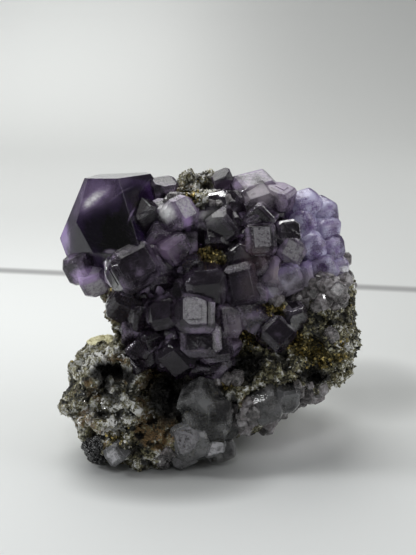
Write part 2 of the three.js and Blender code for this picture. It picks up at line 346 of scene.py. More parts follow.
soft_light("key_behind", -90, 235, 390, 520, 2.0, (1, 1, 0.99))
soft_light("window_left", -340, 20, 230, 90, 0.62, (0.97, 0.98, 1))
soft_light("window_front", -30, -280, 380, 80, 0.14, (0.97, 0.98, 1))
soft_light("wall_right", 380, -20, 230, 420, 0.75, (0.99, 0.99, 1))

world = bpy.data.worlds.new("room")
scene.world = world
world.use_nodes = True
room = world.node_tree.nodes["Background"]
room.inputs["Color"].default_value = (0.97, 0.98, 1, 1)
room.inputs["Strength"].default_value = ROOM_LIGHT

lens = bpy.data.cameras.new("camera")
lens.lens = LENS
lens.clip_start = NEAREST * MM
lens.clip_end = FARTHEST * MM
camera = bpy.data.objects.new("camera", lens)
camera.matrix_world = Matrix.Translation(point(*EYE) * MM) @ FACE.to_4x4()
scene.collection.objects.link(camera)
scene.camera = camera
scene.view_settings.view_transform = "Standard"
print("camera stands at", [round(v, 3) for v in camera.location])

# %% [markdown]
# ## How a crystal is built
# A fluorite crystal is a cube whose edges are cut by flat bevels. It grew in thin layers, so its faces carry
# low, square-cornered steps, and its rims are a little rounded. Each crystal here is a convex hull with
# narrow rims, or one that is worn round, and a few thin plates. All of them are then joined in one solid,
# because light that bends through glass has to cross one clean surface. While a crystal is still alone, each
# corner of its faces is told where it lies in its own cube, and each face how frosted it is.

# %% One crystal
BEVEL_SHARE = 0.2
BEVELLED_FROM = 6.6
UNEVEN_SIDE = 0.07
UNEVEN_BEVEL = 0.35
EASED_SHARE = 0.25
EASED_SLANT = (0.25, 0.5)
EASED_DEPTH = (0.005, 0.025)
CORNER_SKEW = (0.6, 1.5)
CORNER_DEPTH = BEVEL_SHARE * 0.85
CORNER_CUT = (-0.03, 0.11)
LEVEL_ANGLE = 0.6
WORN_INSET = 1.6
PLATE_SPAN = (0.35, 0.9)
SIGNS = (-1, 1)
CRYSTAL_SEED = 11
# The generator's own numbers, a classic choice.
MULTIPLIER = 1664525
ADDEND = 1013904223
ROUND_TRIP = 2**32
# Three planes that are closer to parallel than this have no corner, and a corner may lie this far out.
NOT_PARALLEL = 1e-6
FITS_WITHIN = 1e-4


class Chance:
    """A small seeded generator: the same one that the solids were grown with, so the two agree."""

    def __init__(self, seed):
        self.state = seed

    def random(self):
        self.state = (self.state * MULTIPLIER + ADDEND) % ROUND_TRIP
        return self.state / ROUND_TRIP

    def vary(self, amount):
        return 1 + amount * (2 * self.random() - 1)


chance = Chance(CRYSTAL_SEED)


def corners_of(normals, distances):
    """The corners of the solid that lies behind every plane: each is where three of them meet."""
    threes = np.array(list(itertools.combinations(range(len(normals)), 3)))
    sets = normals[threes]
    sound = abs(np.linalg.det(sets)) > NOT_PARALLEL
    at = np.linalg.solve(sets[sound], distances[threes[sound]][..., None])[..., 0]
    return at[(at @ normals.T - distances).max(axis=1) < FITS_WITHIN]


def crystal_corners(reach, bevels, edge, random, eased=EASED_SHARE):
    """Corners of a cube with flat bevels on its edges, and uneven facets where the bevels meet."""
    far = np.abs(reach)
    normals, distances = [], []

    def cut(way, through, inwards=0.0):
        normals.append(np.array(way) / np.linalg.norm(way))
        distances.append(normals[-1] @ through - inwards * edge)

    for axis in range(3):
        first, second = (axis + 1) % 3, (axis + 2) % 3
        for side in (0, 1):
            way = np.zeros(3)
            way[axis] = SIGNS[side]
            cut(way, way * far[axis][side])
        for a, b in itertools.product((0, 1), repeat=2):
            bevel = bevels[axis][a + 2 * b]
            way, on_edge = np.zeros(3), np.zeros(3)
            way[[first, second]] = SIGNS[a], SIGNS[b]
            on_edge[[first, second]] = far[first][a] - bevel, far[second][b]
            cut(way, way * on_edge)
            for other in (second, first):
                if random.random() < eased:
                    slant = way.copy()
                    slant[other] *= random.uniform(*EASED_SLANT)
                    on_ridge = np.zeros(3)
                    on_ridge[[first, second]] = far[first][a], far[second][b]
                    on_ridge[other] -= bevel
                    cut(slant, way * on_ridge, random.uniform(*EASED_DEPTH))
    for corner in itertools.product((0, 1), repeat=3):
        way = np.array([SIGNS[side] for side in corner]) * random.uniform(*CORNER_SKEW, 3)
        tip = np.array([SIGNS[side] * far[axis][side] for axis, side in enumerate(corner)])
        cut(way, tip, CORNER_DEPTH + random.uniform(*CORNER_CUT))
    return corners_of(np.array(normals), np.array(distances))


def spread_round(points, radius):
    """Points on small balls that lie just inside each corner, so that their hull is worn round."""
    ball = bmesh.new()
    bmesh.ops.create_icosphere(ball, subdivisions=2, radius=radius)
    offsets = np.array([corner.co for corner in ball.verts])
    ball.free()
    inwards = points * (1 - WORN_INSET * radius / np.linalg.norm(points, axis=1))[:, None]
    return (inwards[:, None] + offsets[None]).reshape(-1, 3)


def convex(points, level_angle, clean=False):
    """The hull of points, with its nearly level triangles merged, and the points inside it gone if clean."""
    solid = bmesh.new()
    for at in points:
        solid.verts.new(Vector(at))
    inside = bmesh.ops.convex_hull(solid, input=solid.verts)["geom_interior"]
    if clean:
        bmesh.ops.delete(solid, geom=[part for part in inside if isinstance(part, bmesh.types.BMVert)])
    angle = math.radians(level_angle)
    bmesh.ops.dissolve_limit(solid, angle_limit=angle, verts=solid.verts, edges=solid.edges)
    return solid


def hull(points, rim):
    """A closed hull of points in millimetres, with rounded rims as wide as given, or none."""
    solid = convex(points, LEVEL_ANGLE)
    worn = solid.faces.layers.float.new("worn")
    if rim:
        edges = solid.edges[:]
        rims = bmesh.ops.bevel(solid, geom=edges, offset=rim, segments=2, profile=0.6, affect="EDGES")
        for face in rims["faces"]:
            face[worn] = 1
    bmesh.ops.recalc_face_normals(solid, faces=solid.faces)
    return solid


def plate(reach, axis, side, inner, raised, random):
    """The corners of a thin growth layer: a block that stands a little out of one face."""
    low, high = np.zeros(3), np.zeros(3)
    for other in range(3):
        start, end = reach[other][0] + inner, reach[other][1] - inner
        span = end - start
        length = span * random.uniform(*PLATE_SPAN)
        offset = random.uniform(0, span - length)
        low[other], high[other] = start + offset, start + offset + length
    low[axis], high[axis] = sorted((0, reach[axis][side] + SIGNS[side] * raised))
    return [[(low, high)[(corner >> i) & 1][i] for i in range(3)] for corner in range(8)]


# %% [markdown]
# ## Marking and placing a crystal
# The marks are mesh attributes. "own_place" runs from -1 to 1 across the crystal's own cube, so a pattern of
# growth zones follows its edges however the crystal is turned. "tone" is one number for the whole crystal,
# "frost" is 1 on a face that grew dull and white, and "worn" is 1 on the narrow rims.

# %% Marking and placing a crystal
SAME_WAY = 0.98


def solid_object(solid, name):
    """An object that isn't in the scene yet, made from a bmesh that isn't needed any more."""
    mesh = bpy.data.meshes.new(name)
    solid.to_mesh(mesh)
    solid.free()
    return bpy.data.objects.new(name, mesh)


def to_object(solid, name, turn, half, tone, frosted):
    """Marks a hull, moves it to its place in metres, and makes it an object that isn't in the scene yet."""
    own_place = solid.loops.layers.float_vector.new("own_place")
    tone_mark = solid.faces.layers.float.new("tone")
    frost_mark = solid.faces.layers.float.new("frost")
    for face in solid.faces:
        face[tone_mark] = tone
        amounts = [amount for way, amount in frosted if face.normal.dot(way) > SAME_WAY]
        face[frost_mark] = max(amounts, default=0)
        for corner in face.loops:
            corner[own_place] = corner.vert.co / half
    bmesh.ops.transform(solid, matrix=turn, verts=solid.verts)
    bmesh.ops.scale(solid, vec=(MM, MM, MM), verts=solid.verts)
    return solid_object(solid, name)


def turned(at, tip, swing, roll):
    """Tipped forwards, swung right and rolled anticlockwise, in degrees, about the crystal's own middle."""
    turn = Matrix.Identity(3)
    for axis, angle in (("Y", swing), ("X", tip), ("Z", roll)):
        turn = turn @ Matrix.Rotation(math.radians(angle), 3, axis)
    return Matrix.Translation(place(at)) @ (FACE @ turn).to_4x4()


def frosted_faces(turn, front, top):
    """The cube faces that look most to the front and most upwards, with how frosted each one is."""
    ways = [Vector(SIGNS[side] if i == axis else 0 for i in range(3)) for axis in range(3) for side in (0, 1)]
    spin = turn.to_3x3()
    nearest = [max(ways, key=lambda way, aim=aim: (spin @ way).dot(aim)) for aim in (OUT, UP)]
    return list(zip(nearest, (front, top)))


print("crystals lean back by", round(math.degrees(LEAN)), "degrees with their face")

# %% [markdown]
# ## Habits, plates and twins
# Crystals that grew together still differ: some are dark and glassy, some dull and white, and those of the
# pale mass are worn round. A habit names such a look. A large crystal often carries a twin: a smaller one
# that grew almost parallel to it, and stands out of a corner.

# %% A whole crystal
RIM = 0.11
SMALL_BEVEL = 0.55
ROUND_SHARE = 0.14
TONE_SPREAD = 0.25
SEED_STEPS = 1000

PLATE_RIM = 0.03
PLATE_HEIGHT = (0.07, 0.2)
PLATE_INSET = 1.15

TWINNED_FROM = 7.6
TWIN_RIM = RIM * 0.7
TWIN_EDGE = (0.5, 0.75)
TWIN_OFFSET = (0.2, 0.4)
TWIN_TURN = 3
TWIN_REACH = (0.42, 0.58)
TWIN_BEVEL = (0.6, 1.3)
TWIN_TONE = 0.1

# How each habit looks: tone, frost on the front face, frost on the top face, and how many growth plates.
# A crystal without plates is worn round.
HABITS = {
    "dark": (0.0, 0, 0, 1),
    "purple": (0.4, 0, 0, 1),
    "lilac": (1.0, 0, 0, 1),
    "grey": (0.45, 0.2, 0, 1),
    "frosted": (0.4, 1, 0.1, 2),
    "white": (1.15, 0.7, 0.5, 1),
    "cloud": (1.0, 0, 0, 0),
}


def twin(edge, turn, tone, random):
    """A smaller crystal that grew almost parallel to its host, and stands out of one of its corners."""
    small = edge * random.uniform(*TWIN_EDGE)
    away = [edge * random.uniform(*TWIN_OFFSET) * random.choice(SIGNS) for _ in range(3)]
    angle = math.radians(random.uniform(-TWIN_TURN, TWIN_TURN))
    turn = turn @ Matrix.Translation(Vector(away)) @ Matrix.Rotation(angle, 4, Vector(random.normal(size=3)))
    reach = [[sign * small * random.uniform(*TWIN_REACH) for sign in SIGNS] for _ in range(3)]
    bevels = [[small * BEVEL_SHARE * random.uniform(*TWIN_BEVEL) for _ in range(4)] for _ in range(3)]
    body = hull(crystal_corners(reach, bevels, small, random), TWIN_RIM)
    return to_object(body, "twin", turn, small / 2, tone + random.uniform(-TWIN_TONE, TWIN_TONE), [])


def crystal(row, draw=chance):
    """The solids of one crystal: its body, its growth plates, and a twin on a large plain one."""
    at, edge, tip, swing, roll, *habit = row
    tone, front, top, plates = HABITS[habit[0] if habit else "purple"]
    reach = [[sign * edge * draw.vary(UNEVEN_SIDE) / 2 for sign in SIGNS] for _ in range(3)]
    if edge < BEVELLED_FROM:
        bevels = [[edge * BEVEL_SHARE * SMALL_BEVEL] * 4] * 3
    else:
        bevels = [[edge * BEVEL_SHARE * draw.vary(UNEVEN_BEVEL) for _ in range(4)] for _ in range(3)]
    turn = turned(at, tip, swing, roll)
    frosted = frosted_faces(turn, front, top)
    random = np.random.default_rng(round(SEED_STEPS * (edge + abs(at[0]) + abs(at[1]))))
    tone = tone + random.uniform(-TONE_SPREAD, TONE_SPREAD)
    corners = crystal_corners(reach, bevels, edge, random)
    if plates:
        body = hull(corners, RIM)
    else:
        body = hull(spread_round(corners, ROUND_SHARE * edge), 0)
    solids = [to_object(body, "crystal", turn, edge / 2, tone, frosted)]
    if edge > TWINNED_FROM and not front and plates:
        solids.append(twin(edge, turn, tone, random))
    inner = edge * BEVEL_SHARE * PLATE_INSET
    for _ in range(plates):
        axis, side, raised = random.integers(3), random.integers(2), random.uniform(*PLATE_HEIGHT)
        corners = plate(reach, axis, side, inner, raised, random)
        solids.append(to_object(hull(corners, PLATE_RIM), "plate", turn, edge / 2, tone, frosted))
    return solids


print("habits:", ", ".join(HABITS))

# %% [markdown]
# ## Joining solids
# A Boolean modifier joins closed solids, or cuts one from another, and leaves one clean skin. Its manifold
# solver was chosen because it is quick and exact where every solid is closed. The result is kept as a plain
# mesh, with no modifier left on it.

# %% Joining solids


def settled(live):
    """Replaces an object's mesh with what its modifiers make of it, and drops the modifiers."""
    depsgraph = bpy.context.evaluated_depsgraph_get()
    live.data = bpy.data.meshes.new_from_object(live.evaluated_get(depsgraph))
    live.modifiers.clear()
    return live


def shelf(name, shapes):
    """A collection that isn't in the scene, to pick shapes from."""
    group = bpy.data.collections.new(name)
    for shape in shapes:
        group.objects.link(shape)
    return group


def reshaped(live, operation, solids):
    """Joins closed solids to a closed mesh, or cuts them out of it, and drops them."""
    group = shelf("solids", solids)
    step = live.modifiers.new("reshape", "BOOLEAN")
    step.operation = operation
    step.solver = "MANIFOLD"
    step.operand_type = "COLLECTION"
    step.collection = group
    settled(live)
    for part in solids:
        bpy.data.objects.remove(part)
    bpy.data.collections.remove(group)
    return live


def joined(name, solids):
    """One closed mesh from overlapping solids."""
    first, *others = solids
    made = mesh_object(name, first.data)
    if others:
        reshaped(made, "UNION", others)
    bpy.data.objects.remove(first)
    made.data.validate()
    return made


print("solids can be joined and cut")

# %% [markdown]
# ## Handing a piece over
# A finished piece is given its finish and hung on the root body, and the solids it stands for are hidden.
# Grains and crystals that would sink into the table are worn flat first, as a real foot is.

# %% Handing a piece over


def read_points(mesh):
    flat = np.empty(3 * len(mesh.vertices))
    mesh.vertices.foreach_get("co", flat)
    return flat.reshape(-1, 3)


def stand_on_floor(mesh):
    """Wears a mesh flat where it would sink into the table."""
    points = read_points(mesh)
    points[:, 2] = np.maximum(points[:, 2], 0)
    mesh.vertices.foreach_set("co", points.ravel())
    mesh.update()


def dress(piece, finish, slot, *nodes):
    """Gives a piece its finish, and puts it in the place of the nodes that it stands for."""
    stand_on_floor(piece.data)
    piece.data.materials.clear()
    piece.data.materials.append(finish)
    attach(piece, "root")
    if nodes:
        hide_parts(*nodes)
    triangles = sum(len(face.vertices) - 2 for face in piece.data.polygons)
    print(piece.name, "has", triangles, "triangles")


print("pieces can be handed over")

# %% [markdown]
# ## The fluorite itself
# Fluorite is soft glass: clear, with a low index of 1.434. Its purple lies in zones that follow the cube's
# faces, so the bevelled rims look darker than the middle. The depth of colour comes from a plain absorbing
# volume, which makes a thick crystal nearly black and a thin edge lilac. The surface adds the zones, a dull
# bloom on some faces, and steps too low to model. A pattern's scale is how often it repeats in a millimetre,
# and the weights by which patterns are added up were set one by one.

# %% The fluorite itself
FLUORITE_IOR = 1.434
DULL_GREY = (0.21, 0.2, 0.215)
CHALK = (0.75, 0.74, 0.78)


def fluorite(name, deep, light, milk, absorbed, density, cloud, shade=None, dark_edges=0.0, shine=0.5):
    """A see-through purple mineral: its deep and light colours, the colour of its milky parts, what it
    absorbs, how cloudy it is, how much the deep colour follows its edges, and how strongly it shines."""
    tree, here = material(name)
    own = tree.attribute("own_place", "Vector")
    tone, frost, worn = (tree.attribute(name) for name in ("tone", "frost", "worn"))
    x, y, z = tree.parts(tree.vector("ABSOLUTE", own))
    ring = x + y + z - x.most(y).most(z) - x.least(y).least(z)
    wander = tree.noise(here, 0.32, 3)
    zones = tree.noise(tree.node("ShaderNodeCombineXYZ", None, {"X": ring * 3.4 + tone * 9}), 1.6, 2)
    layers = tree.node("ShaderNodeCombineXYZ", None, {"X": ring * 11 + tone * 9, "Y": wander})
    terraces = tree.noise(layers, 1.4, 2)
    rim = (ring + wander * 0.25).rise(0.6, 0.98)
    speckle = tree.noise(here, 3.4, 3, 0.7)
    strength = (zones * 1.2 + wander * 1.2 + speckle * 0.5 + tone * 0.9 + rim * 0.45 - 1.95).rise(0.0, 0.9)
    colour = tree.mix(strength, deep, light)
    cloudiness = wander + (speckle - 0.5) * 0.8 + (terraces - 0.5) * 0.3
    cloudy = tree.mix(cloudiness.rise(0.33, 0.64), deep, milk)
    cloudy = tree.mix(rim * dark_edges, cloudy, deep)
    veils_and_highlights = 0.0
    if shade:
        colour, cloudy, veils_and_highlights = shade(tree, here, colour, cloudy)
    dust = tree.noise(here, 2.6, 3, 0.65).rise(0.42, 0.66)
    specks = tree.noise(here, 9, 2, 0.6).rise(0.48, 0.66)
    milky = (tone * 1.3 + (wander - 0.5) * 2.4 + rim * 0.15 - 0.72).rise(0.0, 1.0, 0, 0.8)
    blotches = tree.noise(here, 1.3, 4, 0.75).rise(0.3, 0.6)
    bloom = (frost * (0.35 + 0.65 * blotches) * (1 - rim)).rise(0.05, 0.9, 0, 0.8)
    # The overlay also carries the painted highlights and sheen that a shade function hands back.
    over = milky.most(bloom).most(worn * dust * 0.1).most(specks * dust * 0.08).most(veils_and_highlights)
    steps = tree.cells(tree.scaled(own, 2.3), 1.0, "CHEBYCHEV", output=1)
    step = tree.parts(steps, "Color")[0]
    pits = tree.noise(here, 4, 3, 0.65)
    waves = tree.noise(here, 0.8, 2)
    height = step * 0.09 + wander * 0.25 + waves * 0.4 + terraces * 0.16 + pits * (0.12 + frost * 0.06)
    bump = tree.bump(height, 0.5, 0.3)
    glass = {
        "Base Color": colour,
        "Roughness": 0.03 + dust * 0.05,
        "Normal": bump,
        "IOR": FLUORITE_IOR,
        "Transmission Weight": 1 - cloud,
        "Specular IOR Level": shine,
    }
    chalky = (specks * 0.5).most(tone.rise(0.9, 1.3)).least(0.9)
    grey = tree.mix(chalky, DULL_GREY, CHALK)
    haze = {
        "Base Color": tree.mix((bloom * 1.3).most(worn * dust * 0.3), cloudy, grey),
        "Roughness": 0.12 + bloom * 0.35 - specks * 0.1,
        "Normal": bump,
    }
    return finished(tree, glass, {"Color": absorbed, "Density": density}, haze, over)


# %% [markdown]
# ## Colours that change from place to place
# The fluorite isn't one purple. The large crystal has a heart that is nearly black, with painted highlights,
# pale streaks and glints of light, over its upper left. The crust and the pale mass change from crystal to
# crystal, and one crust crystal carries a painted silver sheen. Each change is a soft patch on the display
# face, and noise moves its edge about, so that no patch looks round.

# %% Patches on the large crystal and the pale mass
# Each patch of the large crystal: place, reach, how much drift and fibres move its edge, where it fades out,
# its strength, and its slant: how much it climbs to the right. The glint and the highlight patches are
# painted highlights; the others change its colour.
LARGE_PATCHES = {
    "heart": ((-21.6, 18.2, 3), (6.8, 5.6, 14), (0.7, 0), (0.95, 1.7), 1, 0),
    "corner": ((-14.6, 26.6, 4), (4.6, 2.6, 6), (0.6, 0), (0.9, 1.6), 0.85, 0),
    "facet": ((-27.6, 15.6, 2), (2.2, 4.6, 5), (0.6, 0), (0.9, 1.7), 0.85, 0),
    "haze": ((-24, 26.8, 4), (8, 4, 9), (0.8, 0), (0.7, 1.8), 0.72, 0.5),
    "highlight_streak": ((-25.2, 25.6, 5), (7, 2, 6), (0.6, 0.5), (0.55, 1.75), 1, 0.7),
    "glint": ((-21, 14.6, 4.6), (2.2, 0.7, 3), (0.5, 0), (0.5, 1.4), 0.5, 0),
    "highlight_feather": ((-18.6, 27, 5), (4.4, 0.5, 6), (0, 1), (0.7, 1.6), 0.35, 0.7),
    "highlight_crescent": ((-16.5, 22.2, 5), (0.35, 2.2, 5), (0.6, 0), (0.7, 1.6), 0.45, -0.4),
    "edge": ((-31.4, 17.6, -1), (1.5, 4.2, 9), (0.7, 0), (0.8, 1.8), 0.9, 0),
}
NEARLY_BLACK = (0.004, 0.0035, 0.005)
HAZE_PURPLE = (0.15, 0.11, 0.19)
EDGE_LILAC = (0.34, 0.24, 0.5)
PAINTED_HIGHLIGHT_COLOURS = ((0.46, 0.35, 0.58), (1, 0.97, 1))
PALE_FOOT = ((19.5, 6, 0), (9, 5, 12))
FOOT_GREY = (0.36, 0.32, 0.36)


def from_place(tree, here, at, reach, slant=0.0):
    """Distance from a place on the display face, in shares of its reach across, up and out."""
    away = tree.vector("SUBTRACT", here, tuple(place(at)))
    ways = (ACROSS + UP * slant, UP - ACROSS * slant, OUT)
    along = [tree.vector("DOT_PRODUCT", away, tuple(way / size), output=1) for way, size in zip(ways, reach)]
    return tree.vector("LENGTH", tree.node("ShaderNodeCombineXYZ", None, dict(enumerate(along))), output=1)


def pale_mass_shade(tree, here, colour, cloudy):
    """The pale mass: blue-violet above, and a pinkish grey at its lower left."""
    drift = tree.noise(here, 0.4, 3)
    foot = (from_place(tree, here, *PALE_FOOT) + drift * 0.6).rise(0.9, 1.6, 1, 0) * 0.75
    return tree.mix(foot, colour, FOOT_GREY), tree.mix(foot, cloudy, FOOT_GREY), 0.0


def large_crystal_shade(tree, here, colour, cloudy):
    """The large crystal: nearly black at heart, purple to its edges, with painted highlights at the upper
    left.
    """
    drift = tree.noise(here, 0.45, 3)
    fibres = tree.noise(tree.vector("MULTIPLY", here, (0.5, 2.2, 2.2)), 1.1, 3, 0.7)
    patch = {}
    for name, (at, reach, (sway, fray), fade, most, slant) in LARGE_PATCHES.items():
        away = from_place(tree, here, at, reach, slant) + drift * sway + fibres * fray
        patch[name] = away.rise(*fade, most, 0)
    dark = patch["heart"].most(patch["corner"]).most(patch["facet"])
    # Painted highlights: streaks and glints of light on the upper left.
    veils_and_highlights = patch["highlight_streak"].most(patch["glint"]).most(patch["highlight_feather"]).most(patch["highlight_crescent"])
    haze = (patch["haze"] * (1 - dark * 0.8)).most(patch["edge"])
    colour, cloudy = tree.mix(dark, colour, NEARLY_BLACK), tree.mix(dark, cloudy, NEARLY_BLACK)
    purple = tree.mix(patch["edge"], tree.mix(haze, cloudy, HAZE_PURPLE), EDGE_LILAC)
    # The colour of the painted highlights, from lilac to white.
    bright = tree.mix(veils_and_highlights.rise(0.2, 0.85), *PAINTED_HIGHLIGHT_COLOURS)
    return colour, tree.mix(veils_and_highlights, purple, bright), (veils_and_highlights * 0.95).most(haze)


# %% [markdown]
# ## The three purple finishes
# The crust is dark for the most part, with a painted silver sheen on one crystal, a few violet edges, and
# regions that are paler or darker. The large crystal is the deepest glass and absorbs most; the pale mass is
# milky lilac.

# %% The three purple finishes
# Where the crust changes colour: place, reach, the colour there, and how much it covers. The first row is a
# painted silver sheen on one crystal.
TINTS = [
    ((-9.1, 22.9, 6.5), (2.3, 2.2, 5), (1, 0.99, 1), 1),
    ((-4.6, 21.6, 5), (1.2, 2.8, 5), (0.42, 0.28, 0.56), 0.8),
    ((-9, 15.4, 6), (4.4, 3.6, 6), (0.25, 0.17, 0.29), 0.5),
    ((9.6, 13.6, 5), (4, 4.6, 6), (0.17, 0.115, 0.13), 0.45),
    ((-26.2, 9.4, 0), (3.4, 2.4, 6), (0.6, 0.44, 0.76), 0.85),
    ((8.6, 7.4, 6), (3, 4.4, 6), (0.11, 0.085, 0.1), 0.45),
    ((15.6, 9.4, 4), (4, 2.6, 6), (0.3, 0.25, 0.27), 0.6),
    ((-12.4, 11.4, 4), (3.8, 3.4, 6), (0.06, 0.052, 0.075), 0.9),
    ((0.8, 22, 4), (3, 2.2, 6), (0.42, 0.42, 0.41), 0.55),
    ((10.8, 26.4, 1), (4.4, 3, 7), (0.5, 0.44, 0.5), 0.55),
    ((5.6, -1.6, 6), (3.4, 4, 6), (0.15, 0.11, 0.16), 0.45),
]


def crust_shade(tree, here, colour, cloudy):
    """The crust: dark for the most part, with a painted silver sheen on one crystal, violet edges and paler
    regions.
    """
    drift = tree.noise(here, 0.5, 4, 0.65)
    veils_and_highlights = 0.0
    for at, reach, tint, most in TINTS:
        share = (from_place(tree, here, at, reach) + drift * 1.2).rise(1.0, 1.9, most, 0)
        cloudy = tree.mix(share / most, cloudy, tint)
        veils_and_highlights = share.most(veils_and_highlights)
    return colour, cloudy, veils_and_highlights * drift.rise(0.25, 0.5, 0.5)


large_purple = fluorite(
    "large_crystal_fluorite",
    deep=(0.1, 0.075, 0.125),
    light=(0.3, 0.22, 0.4),
    milk=(0.3, 0.22, 0.4),
    absorbed=(0.62, 0.5, 0.72),
    density=300,
    cloud=0.1,
    shade=large_crystal_shade,
    shine=0.35,
)
deep_purple = fluorite(
    "deep_purple_fluorite",
    deep=(0.05, 0.037, 0.057),
    light=(0.56, 0.49, 0.62),
    milk=(0.26, 0.2, 0.31),
    absorbed=(0.72, 0.62, 0.77),
    density=160,
    cloud=0.2,
    shade=crust_shade,
)
lilac = fluorite(
    "lilac_fluorite",
    deep=(0.14, 0.075, 0.24),
    light=(0.78, 0.74, 0.95),
    milk=(0.64, 0.63, 0.84),
    absorbed=(0.76, 0.64, 0.88),
    density=150,
    cloud=0.24,
    shade=pale_mass_shade,
    dark_edges=0.85,
)
print("fluorite finishes made")

# %% [markdown]
# ## The crystal crust
# The crust is one intergrowth: the large crystal at the upper left, a column of parallel cubes at the front,
# small crystals along the top, and a paler mass of rounded crystals at the right. The large crystal isn't a
# plain cube. Each of its facets is a plane through three places, and its corners are where three of these
# planes meet.

# %% The large crystal
LARGE_MIDDLE = (-21, 21, -2)
LARGE_FACETS = [
    [(-28.3, 20.7, 1.4), (-24.7, 14.2, 2.9), (-18, 22, 7.5)],  # cube face to the front
    [(-18.9, 28.7, 7.7), (-17, 22.5, 8.1), (-10, 26, -5)],  # cube face to the right
    [(-25.8, 30.2, 3.8), (-18.5, 30.2, 8), (-19, 31.2, -8)],  # cube face on top
    [(-25.8, 30.2, 3.8), (-28.3, 20.7, 1.4), (-31, 19.5, -5)],  # slim bevel on the left
    [(-28.3, 20.7, 1.4), (-24.7, 14.2, 2.9), (-29.3, 12.6, -4)],  # broad bevel, lower left
    [(-24.7, 14.2, 2.9), (-20.5, 13.9, 5.2), (-25, 10.3, -2)],  # broad bevel below the front face
    [(-30.4, 19, -2.5), (-30.2, 15.5, -4), (-31.9, 17.6, -6)],  # glint at the left tip
    [(-31.9, 17.6, -6), (-29.6, 12.2, -6), (-29.5, 18, -13)],  # cube face to the left
    [(-25.9, 30.2, -1), (-31.9, 17.6, -5.5), (-27, 23, -14)],  # bevel, upper left
    [(-27, 10.4, -3), (-20, 10.2, -3), (-22, 11.6, -14)],  # cube face below
    [(-12.4, 31.1, -4.5), (-10, 28, -5), (-12.5, 30, -12)],  # bevel, upper right
    [(-24, 31, -10), (-18, 31, -10), (-22, 26, -14)],  # bevel at the back of the top
    [(-26, 20, -13.5), (-14, 20, -13.5), (-20, 28, -12.5)],  # cube face at the back
]
LARGE_SPAN = 40
LARGE_RIM = 0.13
LARGE_HALF = 10
LARGE_TONE = 0.1


def planes(middle, facets):
    """Outward normals and distances of facets, each through three places."""
    normals, distances = [], []
    for places in facets:
        a, b, c = (place(at) for at in places)
        normal = (b - a).cross(c - a).normalized()
        if normal.dot(a - middle) < 0:
            normal.negate()
        normals.append(normal)
        distances.append(normal.dot(a))
    return normals, distances


large_middle = place(LARGE_MIDDLE)
normals, distances = planes(large_middle, LARGE_FACETS)
for axis, sign in itertools.product(range(3), SIGNS):
    normals.append(Vector(sign if i == axis else 0 for i in range(3)))
    distances.append(sign * large_middle[axis] + LARGE_SPAN / 2)
corners = corners_of(np.array(normals), np.array(distances))
points = [at - np.array(large_middle) for at in corners]
to_middle = Matrix.Translation(large_middle)
large = [to_object(hull(points, LARGE_RIM), "crystal", to_middle, LARGE_HALF, LARGE_TONE, [])]
print("large crystal has", len(corners), "corners")

# %% [markdown]
# ## The rest of the crust
# Its larger crystals are listed one line each, where the eye knows them one by one. The gaps between them
# hold smaller ones that nobody would know apart, so these are strewn by chance.

# %% The rest of the crust
# Each crystal: place, edge, then tip, swing and roll, and its habit where it isn't plain purple.
CRUST = [
    # round the large crystal
    [(-27, 11.6, -2.5), 6.5, 30, -35, 10, "lilac"],
    [(-24.6, 8.8, -2.5), 6.5, 40, 20, 30, "white"],
    [(-9.4, 27, -3.5), 6, 30, 25, 12, "grey"],
    [(-13.3, 21.5, 2), 7, 25, 30, 40, "dark"],
    [(-6.5, 22.6, 4.5), 6.8, -18, 28, 25, "white"],
    [(-10.6, 18, 3), 5.5, 35, 10, 60, "lilac"],
    [(-7.4, 15.4, 4), 7, 18, 22, 38, "lilac"],
    [(-15.9, 10.8, 5.5), 10, -14, 16, 28, "grey"],
    [(-17.4, 3.6, 2.6), 8, 38, -12, 52, "dark"],
    [(-14.4, 1.2, 4), 6, 20, 34, 8, "dark"],
    [(-9.5, 1.3, 6.4), 7.5, -8, -14, 12, "grey"],
    [(-10.2, 8.2, 4.6), 6, 42, 18, 5],
    # the column of parallel crystals at the front
    [(-2.9, 0.7, 9.4), 8.4, -17, -3, 1, "frosted"],
    [(-1.8, -4, 7.6), 8.4, -13, -2, 2],
    [(1, -6, 6.2), 7.5, -20, 10, 6],
    [(3.1, -0.4, 5.8), 7, -10, 26, 3],
    [(-1, 7.6, 7.4), 8.5, 22, 8, 6],
    [(6.1, 7.6, 4.4), 9, 4, 12, 14, "grey"],
    [(7.3, 2.2, 4), 6, -24, 20, 30, "grey"],
    [(-11.6, -3.9, 4.2), 6.5, 28, 24, 22, "dark"],
    [(-12.4, -7.2, 3.4), 5.5, 6, -28, 10, "dark"],
    [(-6.3, -7.2, 6.2), 7.5, 30, -16, 33, "dark"],
    # along the top
    [(1.8, 24.4, 0.5), 6.5, 12, -20, 8, "grey"],
    [(3.2, 29.4, -2.5), 4.4, 35, 14, 28],
    [(9.6, 26.8, -2.6), 9.5, 34, 30, 18, "white"],
    [(10.3, 25, 0.8), 7, 42, 28, 26],
    [(11.2, 22.2, 3), 5.5, 20, -20, 40],
    [(10.7, 17, 4.6), 7, -12, 8, 3, "frosted"],
    [(3.3, 20.2, 3.4), 6.5, 18, -24, 32],
    [(1.7, 17.2, 3.2), 5.5, 52, 6, 0],
    [(5.9, 13.8, 3.8), 5.5, 14, 20, 42],
    [(10.6, 11.7, 3.2), 5.5, -6, -30, 26, "grey"],
    [(16.3, 18.7, 1.6), 5.5, 0, 22, 8],
    [(17.1, 14, 2.4), 6, -15, 14, -34, "frosted"],
]
